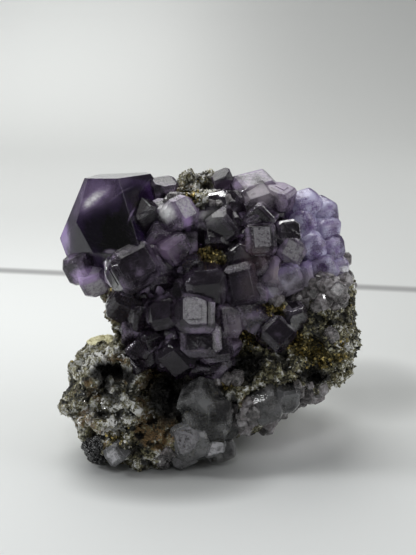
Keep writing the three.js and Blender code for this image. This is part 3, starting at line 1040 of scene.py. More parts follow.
PALE_MASS = [
    [(20.6, 23.9, -3.8), 7.5, 32, 20, 20, "cloud"],
    [(24, 22.6, -4.8), 7.5, 25, 38, 34, "cloud"],
    [(20, 20.4, -2), 7, 12, -16, 28, "cloud"],
    [(24.2, 19, -3.6), 7.5, 22, 34, 10, "cloud"],
    [(21.3, 15.8, -0.8), 7.5, 28, 12, 40, "cloud"],
    [(25.6, 15.6, -2.4), 6, 16, 40, 24, "cloud"],
    [(26.6, 11.2, -3.6), 5.5, 30, 30, 12, "white"],
    [(23.8, 10.2, -0.8), 6.5, -6, 18, 32, "cloud"],
    [(19.8, 9.2, 1), 6, 10, -18, 15, "lilac"],
    [(16.4, 9.6, 2.6), 6.5, 30, 8, 28, "lilac"],
    [(13.1, 7.3, 2.8), 5, 0, 16, 38, "white"],
]
BACK = [
    [(-4, 24, -13), 6, 60, 20, 15],
    [(2.5, 25, -12.5), 7.5, 70, -15, 30],
    [(9, 24.5, -11), 7, 50, 40, 10],
    [(17, 20.5, -10.5), 7, 65, 25, 35],
    [(-11, 23.5, -14), 6.5, 75, 5, 40],
]
ROW_STEP = 0.87
JITTER = 0.4
LONELY_FROM = 5
SET_BACK = (0.1, 1.5)
FILLER_HABITS = ("purple", "grey", "lilac", "dark")


def gap_fillers(rows, outline, spacing, edges, seed, bare):
    """Small crystals on a jittered net between the others, a little behind them."""
    random = np.random.default_rng(seed)
    (left, right), (low, high) = outline
    places = np.array([row[0] for row in rows])
    found = []
    for up in np.arange(low, high, spacing * ROW_STEP):
        for across in np.arange(left, right, spacing):
            at = np.array([across, up]) + random.uniform(-JITTER, JITTER, 2) * spacing
            away = np.linalg.norm(places[:, :2] - at, axis=1)
            turns, edge = random.uniform(-45, 45, 3), random.uniform(*edges)
            kept_bare = any(((at[0] - a) / w) ** 2 + ((at[1] - u) / h) ** 2 < 1 for a, u, w, h in bare)
            if kept_bare or away.min() > LONELY_FROM:
                continue
            out = np.average(places[:, 2], weights=away**-2.0) - random.uniform(*SET_BACK)
            habit = FILLER_HABITS[random.integers(len(FILLER_HABITS))]
            found.append([(*at, out), edge, *turns, habit])
    return found


# Where no small crystals grew: over bare rock and the large crystal. Each: across, up, and reach.
BARE = [
    (-14, 28, 4.4, 4), (-0.5, 12.8, 5.4, 3), (12.6, 2.4, 4, 2), (-22, 21, 11, 10),
    (-19.6, 2.6, 3.6, 5), (-2.5, 26, 5.5, 4), (8, -4, 3.5, 3),
]
fillers = gap_fillers(CRUST, ((-19, 17), (-9, 28)), 3.3, (4, 6.2), 5, BARE)
pale_fillers = gap_fillers(PALE_MASS, ((17, 27), (5, 23)), 5, (3.6, 5.4), 6, BARE)
print(len(fillers), "small crystals in the crust,", len(pale_fillers), "in the paler mass")

# %% [markdown]
# ## The crust's three pieces
# The large crystal, the crust and the pale mass differ in their glass, so each is joined by itself. Only the
# pale mass is shaded smooth, since its crystals are worn round.

# %% The crust's three pieces
SMOOTH_TO = math.radians(24)
small = Chance(CRYSTAL_SEED + 1)


def grown(rows, draw=chance):
    """The solids of every crystal in a list."""
    return [part for row in rows for part in crystal(row, draw)]


crust_parts, pale_parts, back_parts = grown(CRUST), grown(PALE_MASS), grown(BACK)
crust_parts += grown(fillers, small)
pale_parts += grown(pale_fillers, small)
large_piece = joined("large_crystal", large)
dress(large_piece, large_purple, "purple_fluorite", "fluorite_cluster")
crust = joined("fluorite_crust", crust_parts + back_parts)
dress(crust, deep_purple, "purple_fluorite", "fluorite_cluster")
pale_mass = joined("pale_mass", pale_parts)
pale_mass.data.shade_smooth()
pale_mass.data.set_sharp_from_angle(angle=SMOOTH_TO)
dress(pale_mass, lilac, "purple_fluorite", "fluorite_cluster")

# %% [markdown]
# ## The small groups below the crust
# Four groups stand apart from the crust: a dark pair on the right flank, eight crystals down the front, two
# nearly colourless ones at the lower right, and a pale one on the left foot. They are made as the crust is.

# %% The small groups below the crust
SIDE_PAIR = [
    [(14.2, -3.2, 5.6), 6.6, -12, 14, 44],
    [(18.2, 0.9, 4.2), 5.2, 26, 22, 18, "grey"],
]
FRONT_GROUP = [
    [(-2.2, -17, 7.4), 7.4, 36, -14, 30, "lilac"],
    [(1.2, -19.8, 7.2), 7, 4, 10, 2, "grey"],
    [(-3.6, -25.8, 7), 8, -10, -18, 22, "white"],
    [(-0.2, -25.4, 6), 6.5, 20, 26, 8, "white"],
]
FUSED_FRONT = [
    [(-0.6, -21.4, 5.6), 9.5, 8, 6, 12, "grey"],
    [(-5.4, -28.4, 5.8), 5.5, 12, -24, 30, "white"],
    [(2.6, -27.4, 4.4), 5, -8, 30, 16, "grey"],
    [(3.4, -22.6, 5.4), 5, 10, 16, 4, "dark"],
]
PALE_PAIR = [
    [(12, -17.8, 6.4), 7, 16, -20, 24, "lilac"],
    [(16, -16.4, 5), 5.5, 28, 25, 10, "lilac"],
]
TOE_CRYSTAL = [[(-19.6, -28.2, 8.8), 4, 14, -22, 34, "white"]]

pale_clear = fluorite(
    "pale_fluorite",
    deep=(0.065, 0.065, 0.068),
    light=(0.86, 0.86, 0.84),
    milk=(0.13, 0.13, 0.136),
    absorbed=(0.8, 0.79, 0.8),
    density=150,
    cloud=0.15,
)
for name, rows, finish, slot in (
    ("side_pair_crystals", SIDE_PAIR, deep_purple, "purple_fluorite"),
    ("front_group_crystals", FRONT_GROUP + FUSED_FRONT, pale_clear, "purple_fluorite"),
    ("pale_pair_crystals", PALE_PAIR, pale_clear, "pale_fluorite"),
    ("toe_crystal_crystals", TOE_CRYSTAL, pale_clear, "pale_fluorite"),
):
    group = joined(name, grown(rows))
    dress(group, finish, slot, "fluorite_" + name.removesuffix("_crystals"))

# %% [markdown]
# ## The rock, broken down to its grains
# The matrix is a coarse, rotten mix of quartz, sphalerite and pyrite. It broke along its grains, so it is
# made of small tilted facets, not of soft bumps. A copy of the solid will be remeshed to an even net, and a
# Geometry Nodes tree then works on it. These helpers make such a tree, run it once, and keep a plain mesh.

# %% Geometry Nodes kit
MERGE_WITHIN = 1e-7
EASE = 0.5


def geometry_tree(name, numbers):
    """A Geometry Nodes tree with a geometry input, named numbers, and a geometry output."""
    group = bpy.data.node_groups.new(name, "GeometryNodeTree")
    group.interface.new_socket("Geometry", in_out="INPUT", socket_type="NodeSocketGeometry")
    group.interface.new_socket("Geometry", in_out="OUTPUT", socket_type="NodeSocketGeometry")
    for label, kind in numbers.items():
        group.interface.new_socket(label, in_out="INPUT", socket_type=kind)
    tree = Tree(group)
    tree.given = group.nodes.new("NodeGroupInput")
    return tree


def given(tree, label):
    return Socket(tree, tree.given.outputs[label])


def stored(tree, geometry, name, value, **settings):
    """The geometry, with a value kept on it under a name."""
    inputs = {"Geometry": geometry, "Name": name, "Value": value}
    return tree.node("GeometryNodeStoreNamedAttribute", settings, inputs)


def give_back(tree, geometry):
    """Makes the geometry real, gives it the finish that the tree was given, and hands it over."""
    solid = tree.node("GeometryNodeRealizeInstances", None, {"Geometry": geometry})
    inputs = {"Geometry": solid, "Material": given(tree, "Finish")}
    tree.node("NodeGroupOutput", None, {0: tree.node("GeometryNodeSetMaterial", None, inputs)})


def grow(live, tree, values):
    """Runs a tree on an object, with its inputs set by their identifiers, and keeps the plain result."""
    run = live.modifiers.new(tree.tree.name, "NODES")
    run.node_group = tree.tree
    for item in tree.tree.interface.items_tree:
        if item.in_out == "INPUT" and item.name in values:
            run[item.identifier] = values[item.name]
    return settled(live)


def merged_copy(name, node):
    """A copy of a CAD node as a mesh whose loose triangles are merged."""
    solid = bmesh.new()
    solid.from_mesh(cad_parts[node].data)
    bmesh.ops.remove_doubles(solid, verts=solid.verts, dist=MERGE_WITHIN)
    copy = solid_object(solid, name)
    scene.collection.objects.link(copy)
    return copy


def remeshed(live, voxel, smooth_times):
    net = live.modifiers.new("net", "REMESH")
    net.mode = "VOXEL"
    net.voxel_size = voxel * MM
    ease = live.modifiers.new("ease", "SMOOTH")
    ease.factor = EASE
    ease.iterations = smooth_times
    return settled(live)


print("kit for Geometry Nodes is ready")

# %% [markdown]
# ## Breaking a surface into grains
# The tree tilts every cell of a Voronoi pattern its own way, at two sizes: blocks, and the grains in them. A
# few round pocks fall between. The finish uses the same cells again, so that each grain has one colour, and
# for that the tree keeps each point's old place on the mesh.

# %% The tree that breaks a surface into grains
FLOAT = "NodeSocketFloat"
DEPTHS = ("Block depth", "Grain depth", "Pock depth")
BLOCK_SIZE = 3.4
GRAIN_SIZE = 1
POCK_SIZE = 2.6
CELL_SLOPE = 2
BLOCK_TILT = 0.55
GRAIN_TILT = 0.8
SHAKE_SCALE = 0.5
SHAKE = 1.6
ROUGH_SCALE = 1.9
ROUGH = 0.35
POCK_EDGE = (0.1, 0.5)
POCKED_FROM = (0.62, 0.7)


def tilted_cells(tree, place_mm, size):
    """How far each cell's own tilt lifts a point, and how high the whole cell lies, for a size of cell."""
    colour = tree.cells(place_mm, 1 / size, output=1)
    away = tree.vector("SUBTRACT", place_mm, tree.other(colour, "Position"))
    slope = tree.vector("DOT_PRODUCT", tree.centred(colour), away, output=1)
    return slope * CELL_SLOPE, tree.parts(colour)[0] - 0.5


def breaking_tree():
    inputs = {"Finish": "NodeSocketMaterial", **dict.fromkeys(DEPTHS, FLOAT)}
    tree = geometry_tree("break into grains", inputs)
    block_depth, grain_depth, pock_depth = (given(tree, label) for label in DEPTHS)
    here = tree.scaled(tree.node("GeometryNodeInputPosition"), 1 / MM)
    shake = tree.centred(tree.noise(here, SHAKE_SCALE, 2, output=1))
    shaken = tree.vector("ADD", here, tree.scaled(shake, SHAKE))
    kept = stored(tree, given(tree, "Geometry"), "old_place", shaken, data_type="FLOAT_VECTOR")
    block_slope, block_rise = tilted_cells(tree, shaken, BLOCK_SIZE)
    grain_slope, grain_rise = tilted_cells(tree, shaken, GRAIN_SIZE)
    height = (block_slope * BLOCK_TILT + block_rise) * block_depth
    height = height + (grain_slope * GRAIN_TILT + grain_rise) * grain_depth
    height = height + (tree.noise(here, ROUGH_SCALE, 2) - 0.5) * ROUGH
    pock = tree.cells(shaken, 1 / POCK_SIZE)
    chosen = tree.parts(tree.other(pock, "Color"))[0]
    height = height - pock.rise(*POCK_EDGE, pock_depth, 0) * chosen.rise(*POCKED_FROM)
    push = tree.scaled(tree.node("GeometryNodeInputNormal"), height * MM)
    marked = stored(tree, kept, "height", height)
    give_back(tree, tree.node("GeometryNodeSetPosition", None, {"Geometry": marked, "Offset": push}))
    return tree


breaking = breaking_tree()


def broken(live, finish, *depths):
    """Breaks a mesh into grains, with depths in millimetres for blocks, grains and pocks."""
    live = grow(live, breaking, {"Finish": finish, **dict(zip(DEPTHS, depths))})
    stand_on_floor(live.data)
    return live


print("breaks into blocks of", BLOCK_SIZE, "mm and grains of", GRAIN_SIZE, "mm")

# %% [markdown]
# ## Mounds and hollows
# Low mounds of matrix grew over the feet of the crystals, and small hollows were left where grains fell out;
# the finish paints their insides in deep shade. Both are uneven balls: the mounds are joined to the copy of
# the rock, and the hollows are cut from it.

# %% Mounds and hollows
# The scoop at the foot, then the hollows, which the finish paints dark as shade: place, and reach across, up
# and out.
SCOOP = [(-13, -25.4, 12), (5.2, 4.4, 3.4)]
HOLLOWS = [
    [(-8.6, -15.6, 7.5), (4.3, 4.6, 7)],
    [(-21.4, -11.2, 7), (3.3, 1.5, 5)],
    [(-22.3, -13.8, 7), (1.2, 1.8, 4)],
    [(8.2, -9.4, 7), (2.5, 2, 5)],
    [(22.6, -12.2, 6), (2.8, 1.3, 4)],
    [(5.2, -20, 8), (0.8, 3.4, 4)],
    [(-3.5, -13.6, 9), (3, 0.9, 3)],
]
# Low mounds of matrix that grew over the crystals' feet, and the crown at the top.
MOUNDS = [
    [(-0.6, 12.9, 4.2), (5.4, 2.3, 3)],
    [(12.6, 2.6, 3.4), (3.8, 1.6, 2.6)],
    [(-2.4, 24.9, 0.2), (7.6, 2.7, 4.8)],
    [(-20, 2.4, 2), (2.2, 3.2, 2)],
]
LUMP_REACH = (0.82, 1.12)


def lump(at, reach, seed):
    """An uneven ball, in place, to add to the rock or to cut from it."""
    random = np.random.default_rng(seed)
    body = bmesh.new()
    bmesh.ops.create_icosphere(body, subdivisions=2, radius=1)
    for corner in body.verts:
        away = np.array(corner.co) * random.uniform(*LUMP_REACH) * np.array(reach)
        corner.co = (FACE @ Vector(away) + place(at)) * MM
    return solid_object(body, "lump")


def lumps(rows):
    return [lump(at, reach, seed) for seed, (at, reach) in enumerate(rows)]


print(len(MOUNDS), "mounds and", len(HOLLOWS), "hollows")

# %% [markdown]
# ## Where the rock changes
# The rock isn't the same all over. Fine golden pyrite fills the gaps below and between the crystals. Rust
# stains the neck and the rims of the hollows. Pale quartz glitters on the left, and the right flank is dark
# ore. The dark patches also carry painted shade below the crust, round the hollows and in the scoop. Each of
# these is a list of soft patches on the display face, and crossed waves break up their edges.

# %% Where the rock changes
# Each patch: across, up, and its reach across and up.
PATCHES = {
    "gold": [
        (-0.5, 12.8, 5, 2.4), (12.6, 2.4, 4.4, 2.2), (9, -2.5, 2.6, 2.4), (24.6, -7.2, 4.6, 1.6),
        (27, -6.4, 1.8, 1), (23.6, -9.9, 1, 0.9), (18.8, -5.4, 2.6, 2), (23, -13, 0.9, 0.7),
        (-4.4, 26.4, 1.8, 1.4), (21.6, 8.6, 1.2, 1.2), (-10.4, -13, 1.4, 2.2), (2.6, -13.6, 2.4, 1.2),
        (-4.4, -22.4, 2, 2.4), (-20, -25.5, 2, 1),
    ],
    "rust": [
        (-18, 4, 3.6, 4.6), (-22.4, 1, 2.6, 1.8), (-20.6, 3, 2, 2.6), (-19.6, -8.4, 3.6, 1.2),
        (-19.6, -12.6, 2, 1.6), (-16.4, -6.4, 2.4, 1), (-25, -15, 2.6, 1), (-13.4, -22, 2, 2.4),
        (-12, -12.4, 2.2, 3.4), (-8, -21.5, 4.6, 1.8), (-9.4, -25.4, 5, 2.4), (-26.6, -20.8, 2.4, 1.6),
        (-23, -25, 1.8, 2), (7.5, -16.8, 0.8, 1.4), (-13.6, -17.6, 2, 1.2), (-6, 27.5, 1.6, 1.2),
    ],
    "pale": [
        (-24.5, -9.6, 4.4, 2.2), (-17.4, -9.6, 2.4, 3.8), (-25.8, -18.6, 4, 2.4), (-17.6, -19.6, 5, 2.6),
        (-11.5, -18, 3, 1.8), (-8, -29.6, 3, 2), (-13, -30.6, 3, 1.6), (8.4, -14, 2.4, 1),
        (-19.6, -23.4, 2.6, 2.4), (-21.4, -16.4, 4.4, 2), (29, -3.4, 2, 3), (26, 3.4, 3.4, 1.6),
        (-1, 26.6, 3.6, 2.8), (-5.4, 25.6, 3.6, 3),
    ],
    # Dark patches: partly dark ore, partly painted shade below the crust, round the hollows and in the scoop.
    "dark": [
        (25, 1, 7, 6.4), (21.6, -9.6, 5, 2.4), (13, -9.4, 5.4, 2.8), (5.2, -10.6, 3.2, 2.4),
        (-7.8, -13.4, 4.6, 4.2), (-28.6, -16.4, 2.6, 2.2), (5.4, -20.5, 1.2, 3.4), (13.6, -19.8, 5, 2.4),
        (22, -1.4, 3.6, 2.6), (-19.8, -10.2, 2.2, 1.6), (-13.4, -25, 4.6, 3.6), (-11, -22, 3, 1.4),
    ],
}
PATCH_FRONT = -8
PATCH_FRONT_FADE = 3
PATCH_EDGE = 1.6
BROAD_SWAY = (0.9, 4.5)
FINE_SWAY = (0.5, 1.6)
SINES = 10
SINE_SPREAD = (0.7, 1.6)
SINE_SUM = 3.2
HOLLOW_DEPTH = 3.3
HOLLOW_FADE = 2


def wandering(points, size, seed):
    """A smooth random number, about -1 to 1, at each point in millimetres: sines that cross each other."""
    random = np.random.default_rng(seed)
    total = np.zeros(len(points))
    for _ in range(SINES):
        way = random.normal(size=3)
        way *= 2 * math.pi / size / np.linalg.norm(way) * random.uniform(*SINE_SPREAD)
        total += np.sin(points @ way + random.uniform(0, 2 * math.pi))
    return total / SINE_SUM


def read_numbers(mesh, name):
    values = np.empty(len(mesh.vertices))
    mesh.attributes[name].data.foreach_get("value", values)
    return values


def write_numbers(mesh, name, values):
    mark = mesh.attributes.new(name, "FLOAT", "POINT")
    mark.data.foreach_set("value", values)


def patch_strength(points, patches, seed):
    """How strongly each point belongs to a list of patches, from 0 to 1."""
    seen = seen_from_the_front(points)
    swayed = []
    for axis in (0, 1):
        along = seen[:, axis]
        for step, (amount, size) in enumerate((BROAD_SWAY, FINE_SWAY)):
            along = along + amount * wandering(points / MM, size, seed + 2 * axis + step)
        swayed.append(along)
    across, up = swayed
    best = np.zeros(len(points))
    for a, u, reach_a, reach_u in patches:
        away = ((across - a) / reach_a) ** 2 + ((up - u) / reach_u) ** 2
        best = np.maximum(best, np.clip(PATCH_EDGE - away, 0, 1))
    return best * np.clip((seen[:, 2] - PATCH_FRONT) / PATCH_FRONT_FADE, 0, 1)


def mark_patches(mesh):
    """Marks how deep in a hollow, and how far in each kind of patch, every point of the rock lies."""
    points = read_points(mesh)
    square = points / MM @ np.array(FACE)
    depth = np.zeros(len(points))
    for at, reach in HOLLOWS:
        away = (square - np.array(place(at)) @ np.array(FACE)) / np.array(reach)
        inside = HOLLOW_DEPTH - HOLLOW_FADE * np.linalg.norm(away, axis=1)
        depth = np.maximum(depth, np.clip(inside, 0, 1))
    write_numbers(mesh, "hollow", depth)
    for seed, (name, patches) in enumerate(PATCHES.items()):
        write_numbers(mesh, name, patch_strength(points, patches, 10 * seed))


print("the rock changes to", ", ".join(PATCHES))

# %% [markdown]
# ## The rock's finish
# Every grain has a colour, a gloss and a tilt of its own. The coarse cells pick a mineral from a ramp, finer
# cells break that up, and the marked patches pull the mix towards gold, rust, pale quartz, or a dark tone
# that is partly dark ore and partly painted shade. Low places between the grains are darkened as painted
# shade, and the hollows nearly to black. The normal is tilted cell by cell, so that single grains flash as
# the light moves over them.

# %% The rock's finish
GRAIN_COLOURS = [
    (0.0, (0.012, 0.013, 0.01)),
    (0.25, (0.05, 0.047, 0.03)),
    (0.42, (0.16, 0.14, 0.07)),
    (0.58, (0.27, 0.25, 0.13)),
    (0.75, (0.44, 0.43, 0.31)),
    (0.9, (0.85, 0.85, 0.82)),
]
FINE_GRAIN = 0.42
GRAIN_FLASH = 0.9
RUST = ((0.05, 0.03, 0.01), (0.32, 0.185, 0.065))
ORE = ((0.03, 0.028, 0.01), (0.24, 0.2, 0.085))
CREVICE_SHADE = (0.012, 0.011, 0.009)
HOLLOW_PAINTED_SHADE = (0.004, 0.0035, 0.003)


def rock_finish():
    tree, here = material("granular_rock")
    old = tree.attribute("old_place", "Vector")
    gold, rust, pale, dark = (tree.attribute(name) for name in ("gold", "rust", "pale", "dark"))
    coarse = tree.cells(old, 1 / GRAIN_SIZE, output=1)
    fine = tree.cells(here, 1 / FINE_GRAIN, output=1)
    tiny = tree.noise(here, 6, 3, 0.7)
    broad = tree.noise(here, 0.22, 3, 0.6)
    pick = tree.parts(coarse, "Color")[0]
    small, green, blue = tree.parts(fine, "Color")
    mineral = pick * 0.62 + small * 0.62 + (tiny - 0.5) * 0.5 + (broad - 0.5) * 1.3
    # The dark mark darkens the rock: partly dark ore, partly painted shade.
    colour = tree.ramp(mineral + pale * 0.36 - dark * 0.28 - 0.12, GRAIN_COLOURS)
    colour = tree.mix(rust * 0.85 * green.rise(0.0, 0.5), colour, tree.mix(tiny.rise(0.35, 0.65), *RUST))
    # Painted shade: the low places between grains are darkened, as in crevices.
    crevice_shade_share = tree.attribute("height").rise(-0.9, 0.1, 0.92, 0)
    colour = tree.mix(crevice_shade_share, colour, CREVICE_SHADE)
    gilt = (gold * 1.4 + green - 0.9).rise(0, 0.3)
    colour = tree.mix(gilt, colour, tree.mix(blue**2, *ORE))
    hollow = tree.attribute("hollow")
    # Painted shade: the hollows are darkened nearly to black.
    colour = tree.mix(hollow * 0.97, colour, HOLLOW_PAINTED_SHADE)
    surface = {
        "Base Color": colour,
        "Roughness": (0.72 - green * 0.5 + rust * 0.2).least(0.95),
        "Metallic": gilt * 0.6 * (1 - hollow),
        "Normal": tree.bump(tiny, 0.6, 0.25, Normal=tree.tilted_normal(fine, GRAIN_FLASH)),
    }
    return finished(tree, surface)


granular = rock_finish()
print("rock finish made")

# %% [markdown]
# ## The rock
# The mounds and hollows come first, on the coarse copy. An even net of small squares then covers it, fine
# enough to carry the grains, and the tree breaks that net.

# %% The rock
VOXEL = 0.43
ROCK_DEPTHS = (0.8, 0.42, 0.9)
rock = merged_copy("rock_body", "matrix_rock")
rock = reshaped(rock, "UNION", lumps(MOUNDS))
rock = reshaped(rock, "DIFFERENCE", lumps([SCOOP, *HOLLOWS]))
rock = broken(remeshed(rock, VOXEL, 2), granular, *ROCK_DEPTHS)
mark_patches(rock.data)
dress(rock, granular, "matrix", "matrix_rock")

# %% [markdown]
# ## Loose grains
# What makes the rock glitter is that its grains stand free: quartz chips with clean faces, and brass-coloured
# pyrite in tiny cubes. There are thousands, so Geometry Nodes scatter them over the rock. A mark on the rock
# says how thickly each kind lies, and each grain takes one of a few shapes, a size and a turn by chance.

# %% Shapes of grains
CHIP_POINTS = 14
CHIP_STRETCHES = [(1, 0.8, 0.7), (1.4, 0.6, 0.6), (1, 1, 0.5)]
CHIP_LEVEL = 12
CHIP_REACH = (0.75, 1)
CUBE_SIDE = 0.8
CUBE_STRETCHES = {"cube": (1, 1, 1), "brick": (1.3, 0.8, 0.7)}


def chip(name, stretch, seed):
    """A broken chip of a quartz crystal: the hull of a few points on a stretched ball."""
    random = np.random.default_rng(seed)
    ways = random.normal(size=(CHIP_POINTS, 3))
    ways /= np.linalg.norm(ways, axis=1)[:, None]
    ways = ways * random.uniform(*CHIP_REACH, (CHIP_POINTS, 1))
    body = convex(ways * np.array(stretch) / 2, CHIP_LEVEL, clean=True)
    bmesh.ops.recalc_face_normals(body, faces=body.faces)
    return solid_object(body, name)


def little_cube(name, stretch):
    body = bmesh.new()
    bmesh.ops.create_cube(body, size=CUBE_SIDE)
    bmesh.ops.scale(body, vec=stretch, verts=body.verts)
    return solid_object(body, name)


quartz_shapes = shelf("quartz", [chip(f"chip_{i}", stretch, i) for i, stretch in enumerate(CHIP_STRETCHES)])
cube_shapes = shelf("cubes", [little_cube(name, stretch) for name, stretch in CUBE_STRETCHES.items()])
print("shapes of grains are ready")

# %% [markdown]
# ## Scattering the grains
# One tree serves every kind of grain. It spreads points as thickly as a mark on the ground says, puts a shape
# on each with a size and a turn by chance, and gives each grain a number, from which its finish takes a tone.

# %% The tree that scatters grains
SCATTER_INPUTS = {
    "Shapes": "NodeSocketCollection",
    "Finish": "NodeSocketMaterial",
    "Mark": "NodeSocketString",
    "Per square mm": FLOAT,
    "Least size": FLOAT,
    "Most size": FLOAT,
    "Seed": "NodeSocketInt",
}
ANY_TURN = (math.tau, math.tau, math.tau)
OWN_SEED = 7


def scatter_tree():
    tree = geometry_tree("scatter grains", SCATTER_INPUTS)
    ground, shapes, _, mark, per_square_mm, least, most, seed = (
        given(tree, label) for label in ("Geometry", *SCATTER_INPUTS)
    )
    mark = tree.node("GeometryNodeInputNamedAttribute", {"data_type": "FLOAT"}, {"Name": mark})
    inputs = {"Mesh": ground, "Density": mark * per_square_mm / MM**2, "Seed": seed}
    points = tree.node("GeometryNodeDistributePointsOnFaces", None, inputs)
    vector, number = {"data_type": "FLOAT_VECTOR"}, {"data_type": "FLOAT"}
    turn = tree.node("FunctionNodeRandomValue", vector, {"Max": ANY_TURN, "Seed": seed})
    size = tree.node("FunctionNodeRandomValue", number, {2: least, 3: most, "Seed": seed}, output=1)
    own = tree.node("FunctionNodeRandomValue", number, {"Seed": seed + OWN_SEED}, output=1)
    inputs = {"Collection": shapes, "Separate Children": True}
    grain = tree.node("GeometryNodeCollectionInfo", None, inputs)
    scale = tree.node("ShaderNodeCombineXYZ", None, dict.fromkeys(range(3), size * MM))
    inputs = {"Points": points, "Instance": grain, "Pick Instance": True, "Rotation": turn, "Scale": scale}
    grains = tree.node("GeometryNodeInstanceOnPoints", None, inputs)
    give_back(tree, stored(tree, grains, "own_number", own, domain="INSTANCE"))
    return tree


scattering = scatter_tree()


def scattered(name, ground, shapes, finish, mark, per_square_mm, sizes, seed):
    """Grains on a ground, as a plain mesh of their own."""
    live = mesh_object(name, ground.data.copy())
    values = zip(SCATTER_INPUTS, (shapes, finish, mark, per_square_mm, *sizes, seed))
    return grow(live, scattering, dict(values))


print("the scattering tree takes", ", ".join(SCATTER_INPUTS))

# %% [markdown]
# ## Finishes of the grains
# Quartz here is glassy but full of cracks, so a chip looks white or grey and flashes. Pyrite is a metal, with
# a brassy yellow that tarnishes to olive.

# %% Finishes of the grains
QUARTZ_IOR = 1.54
QUARTZ_COLOURS = [
    (0.0, (0.03, 0.03, 0.026)),
    (0.35, (0.14, 0.13, 0.09)),
    (0.6, (0.32, 0.3, 0.22)),
    (0.8, (0.6, 0.6, 0.56)),
    (1.0, (0.9, 0.9, 0.9)),
]
TARNISHED = (0.06, 0.052, 0.022)
BRASSY = (0.64, 0.5, 0.18)


def quartz_finish():
    tree, here = material("quartz_grains")
    mist = tree.noise(here, 1.6, 2)
    colour = tree.ramp(tree.attribute("own_number") ** 1.5 * 0.85 + mist * 0.5 - 0.1, QUARTZ_COLOURS)
    surface = {
        "Base Color": colour,
        "Roughness": 0.06 + mist * 0.14,
        "IOR": QUARTZ_IOR,
        "Specular IOR Level": 1.0,
    }
    return finished(tree, surface)


def pyrite_finish():
    tree, here = material("pyrite_grains")
    tarnish = tree.noise(here, 0.9, 2)
    bright = (tree.attribute("own_number") + tarnish * 0.6 - 0.3).rise(0.2, 1.1)
    colour = tree.mix(bright, TARNISHED, BRASSY)
    return finished(tree, {"Base Color": colour, "Roughness": 0.22 + tarnish * 0.3, "Metallic": 0.85})


quartz = quartz_finish()
pyrite = pyrite_finish()
print("finishes made:", quartz.name, pyrite.name)

# %% [markdown]
# ## A druse of small crystals
# Between the big crystals and the bare rock lies a druse: a fringe of tiny, pale, half-clear crystals. They
# are cubes like the large ones, so their shapes come from the same function.

# %% The druse's crystals and finish
DRUSE_KINDS = 4
DRUSE_SEED = 40
DRUSE_REACH = (0.4, 0.6)
DRUSE_BEVEL = (0.4, 1)
DRUSE_LEVEL = 2
DRUSE_COLOURS = [
    (0.0, (0.05, 0.047, 0.047)),
    (0.35, (0.22, 0.205, 0.205)),
    (0.65, (0.48, 0.44, 0.45)),
    (1.0, (0.85, 0.83, 0.85)),
]
DRUSE_GLASS = {"Color": (0.8, 0.76, 0.82), "Density": 160}
# Where the druse grew: across, up, and its reach across and up.
DRUSE = [
    (25.4, 6.6, 4.2, 3.4), (19.6, 6.4, 3.6, 2), (28.4, 8, 1.6, 3), (13, 5.4, 2.4, 1.6),
    (-8, -29.8, 2.4, 1.4), (9, -20.8, 4.4, 2), (14.6, -18.6, 5, 2.4), (19.6, -15.4, 3.4, 1.6),
    (3.4, -12.6, 3.4, 1), (26.4, -3.4, 0.8, 0.5), (3.4, 26, 3, 2), (-7, 24.6, 2, 1.6),
]


def small_crystal(name, seed):
    random = np.random.default_rng(seed)
    reach = [[sign * random.uniform(*DRUSE_REACH) for sign in SIGNS] for _ in range(3)]
    bevels = [[BEVEL_SHARE * random.uniform(*DRUSE_BEVEL) for _ in range(4)] for _ in range(3)]
    body = convex(crystal_corners(reach, bevels, 1, random, 0), DRUSE_LEVEL)
    bmesh.ops.recalc_face_normals(body, faces=body.faces)
    return solid_object(body, name)


def druse_finish():
    tree, here = material("druse")
    mist = tree.noise(here, 1.1, 3, 0.6)
    surface = {
        "Base Color": tree.ramp(
            tree.attribute("own_number") * 0.5 + mist.rise(0.3, 0.7) * 0.5, DRUSE_COLOURS
        ),
        "Roughness": 0.06 + mist * 0.14,
        "IOR": FLUORITE_IOR,
        "Transmission Weight": 0.55,
        "Specular IOR Level": 0.8,
    }
    return finished(tree, surface, DRUSE_GLASS)


druse_shapes = shelf("druse", [small_crystal(f"druse_{i}", DRUSE_SEED + i) for i in range(DRUSE_KINDS)])
druse_clear = druse_finish()
print("druse crystals are ready")

# %% [markdown]
# ## Grains on the rock
# Quartz lies most thickly on the pale patches, and pyrite on the golden ones. No grain starts in a hollow,
# or so low that it would stand in the table.

# %% Grains on the rock
LOWEST_GRAIN = 0.8
HOLLOW_FROM = 0.3
PLAIN_QUARTZ = 0.22
STRAY_PYRITE = 0.008
DRUSE_EDGE_SEED = 90
points = read_points(rock.data)
marks = {name: read_numbers(rock.data, name) for name in ("hollow", *PATCHES)}
open_rock = np.clip((points[:, 2] / MM - LOWEST_GRAIN) / LOWEST_GRAIN, 0, 1) * (marks["hollow"] < HOLLOW_FROM)
shine = PLAIN_QUARTZ + 0.7 * marks["pale"] - 0.6 * marks["gold"] - 0.1 * marks["dark"]
covers = {
    "quartz_cover": np.clip(shine, 0, 1),
    "pyrite_cover": marks["gold"] + STRAY_PYRITE,
    "druse_cover": patch_strength(points, DRUSE, DRUSE_EDGE_SEED),
}
# Name, shapes, finish, slot, mark, grains per square millimetre, least and most size, and seed.
for name, cover in covers.items():
    write_numbers(rock.data, name, cover * open_rock)
for name, shapes, finish, slot, mark, per_square_mm, sizes, seed in (
    ("quartz_chips", quartz_shapes, quartz, "matrix", "quartz_cover", 1.75, (0.2, 1.05), 3),
    ("pyrite_cubes", cube_shapes, pyrite, "matrix", "pyrite_cover", 3.4, (0.2, 0.65), 4),
    ("druse", druse_shapes, druse_clear, "pale_fluorite", "druse_cover", 0.6, (0.6, 3), 5),
):
    grains = scattered(name, rock, shapes, finish, mark, per_square_mm, sizes, seed)
    dress(grains, finish, slot, "matrix_rock")

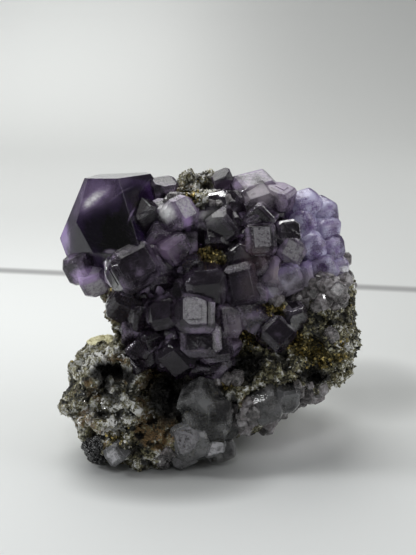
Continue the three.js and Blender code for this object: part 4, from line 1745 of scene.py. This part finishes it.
# %% [markdown]
# ## Dark ore and calcite
# Two lumps at the left keep the shape of their solids, but not their smoothness. The foot's sphalerite is
# coal black and breaks into tiny bright facets, whose glints are partly painted as grey specks. The calcite
# behind the gap is a waxy olive yellow.

# %% Dark ore and calcite
LUMP_VOXEL = 0.25
COAL = ((0.006, 0.006, 0.007), (0.05, 0.049, 0.047))
PAINTED_GLINT_GREY = (0.5, 0.5, 0.5)
WAX = ((0.48, 0.43, 0.2), (0.8, 0.76, 0.46))
WAX_PALE = (0.95, 0.93, 0.72)
WAX_DARK = (0.24, 0.2, 0.09)


def sphalerite_finish():
    tree, here = material("black_sphalerite")
    cells = tree.cells(here, 2.6, output=1)
    pick = tree.parts(cells, "Color")[0]
    fine = tree.noise(here, 5, 3, 0.7)
    colour = tree.mix(pick.rise(0.75, 1), *COAL)
    surface = {
        # Painted glints: grey specks in the black ore's colour.
        "Base Color": tree.mix((fine + pick * 0.1).rise(0.61, 0.67), colour, PAINTED_GLINT_GREY),
        "Roughness": 0.14 + fine * 0.25,
        "Specular IOR Level": 0.6,
        "Normal": tree.bump(fine, 0.5, 0.2, Normal=tree.tilted_normal(cells, 1.2)),
    }
    return finished(tree, surface)


def calcite_finish():
    tree, here = material("waxy_calcite")
    broad, fine = tree.noise(here, 0.45, 3, 0.6), tree.noise(here, 3, 3, 0.65)
    colour = tree.mix(broad.rise(0.35, 0.65), *WAX)
    colour = tree.mix(fine.rise(0.52, 0.7) * 0.7, colour, WAX_PALE)
    colour = tree.mix(fine.rise(0.3, 0.45, 0.7, 0), colour, WAX_DARK)
    bump = tree.bump(fine, 0.6, 0.2)
    return finished(tree, {"Base Color": colour, "Roughness": 0.3 + fine * 0.35, "Normal": bump})


# Name, node, finish, slot, and the depths of blocks and grains; neither lump has pocks.
for name, node, finish, slot, block_depth, grain_depth in (
    ("sphalerite_lump", "sphalerite_toe", sphalerite_finish(), "sphalerite", 0.35, 0.3),
    ("calcite_waxy_lump", "calcite_lump", calcite_finish(), "calcite", 0.3, 0.16),
):
    net = remeshed(merged_copy(name, node), LUMP_VOXEL, 1)
    dress(broken(net, finish, block_depth, grain_depth, 0), finish, slot, node)
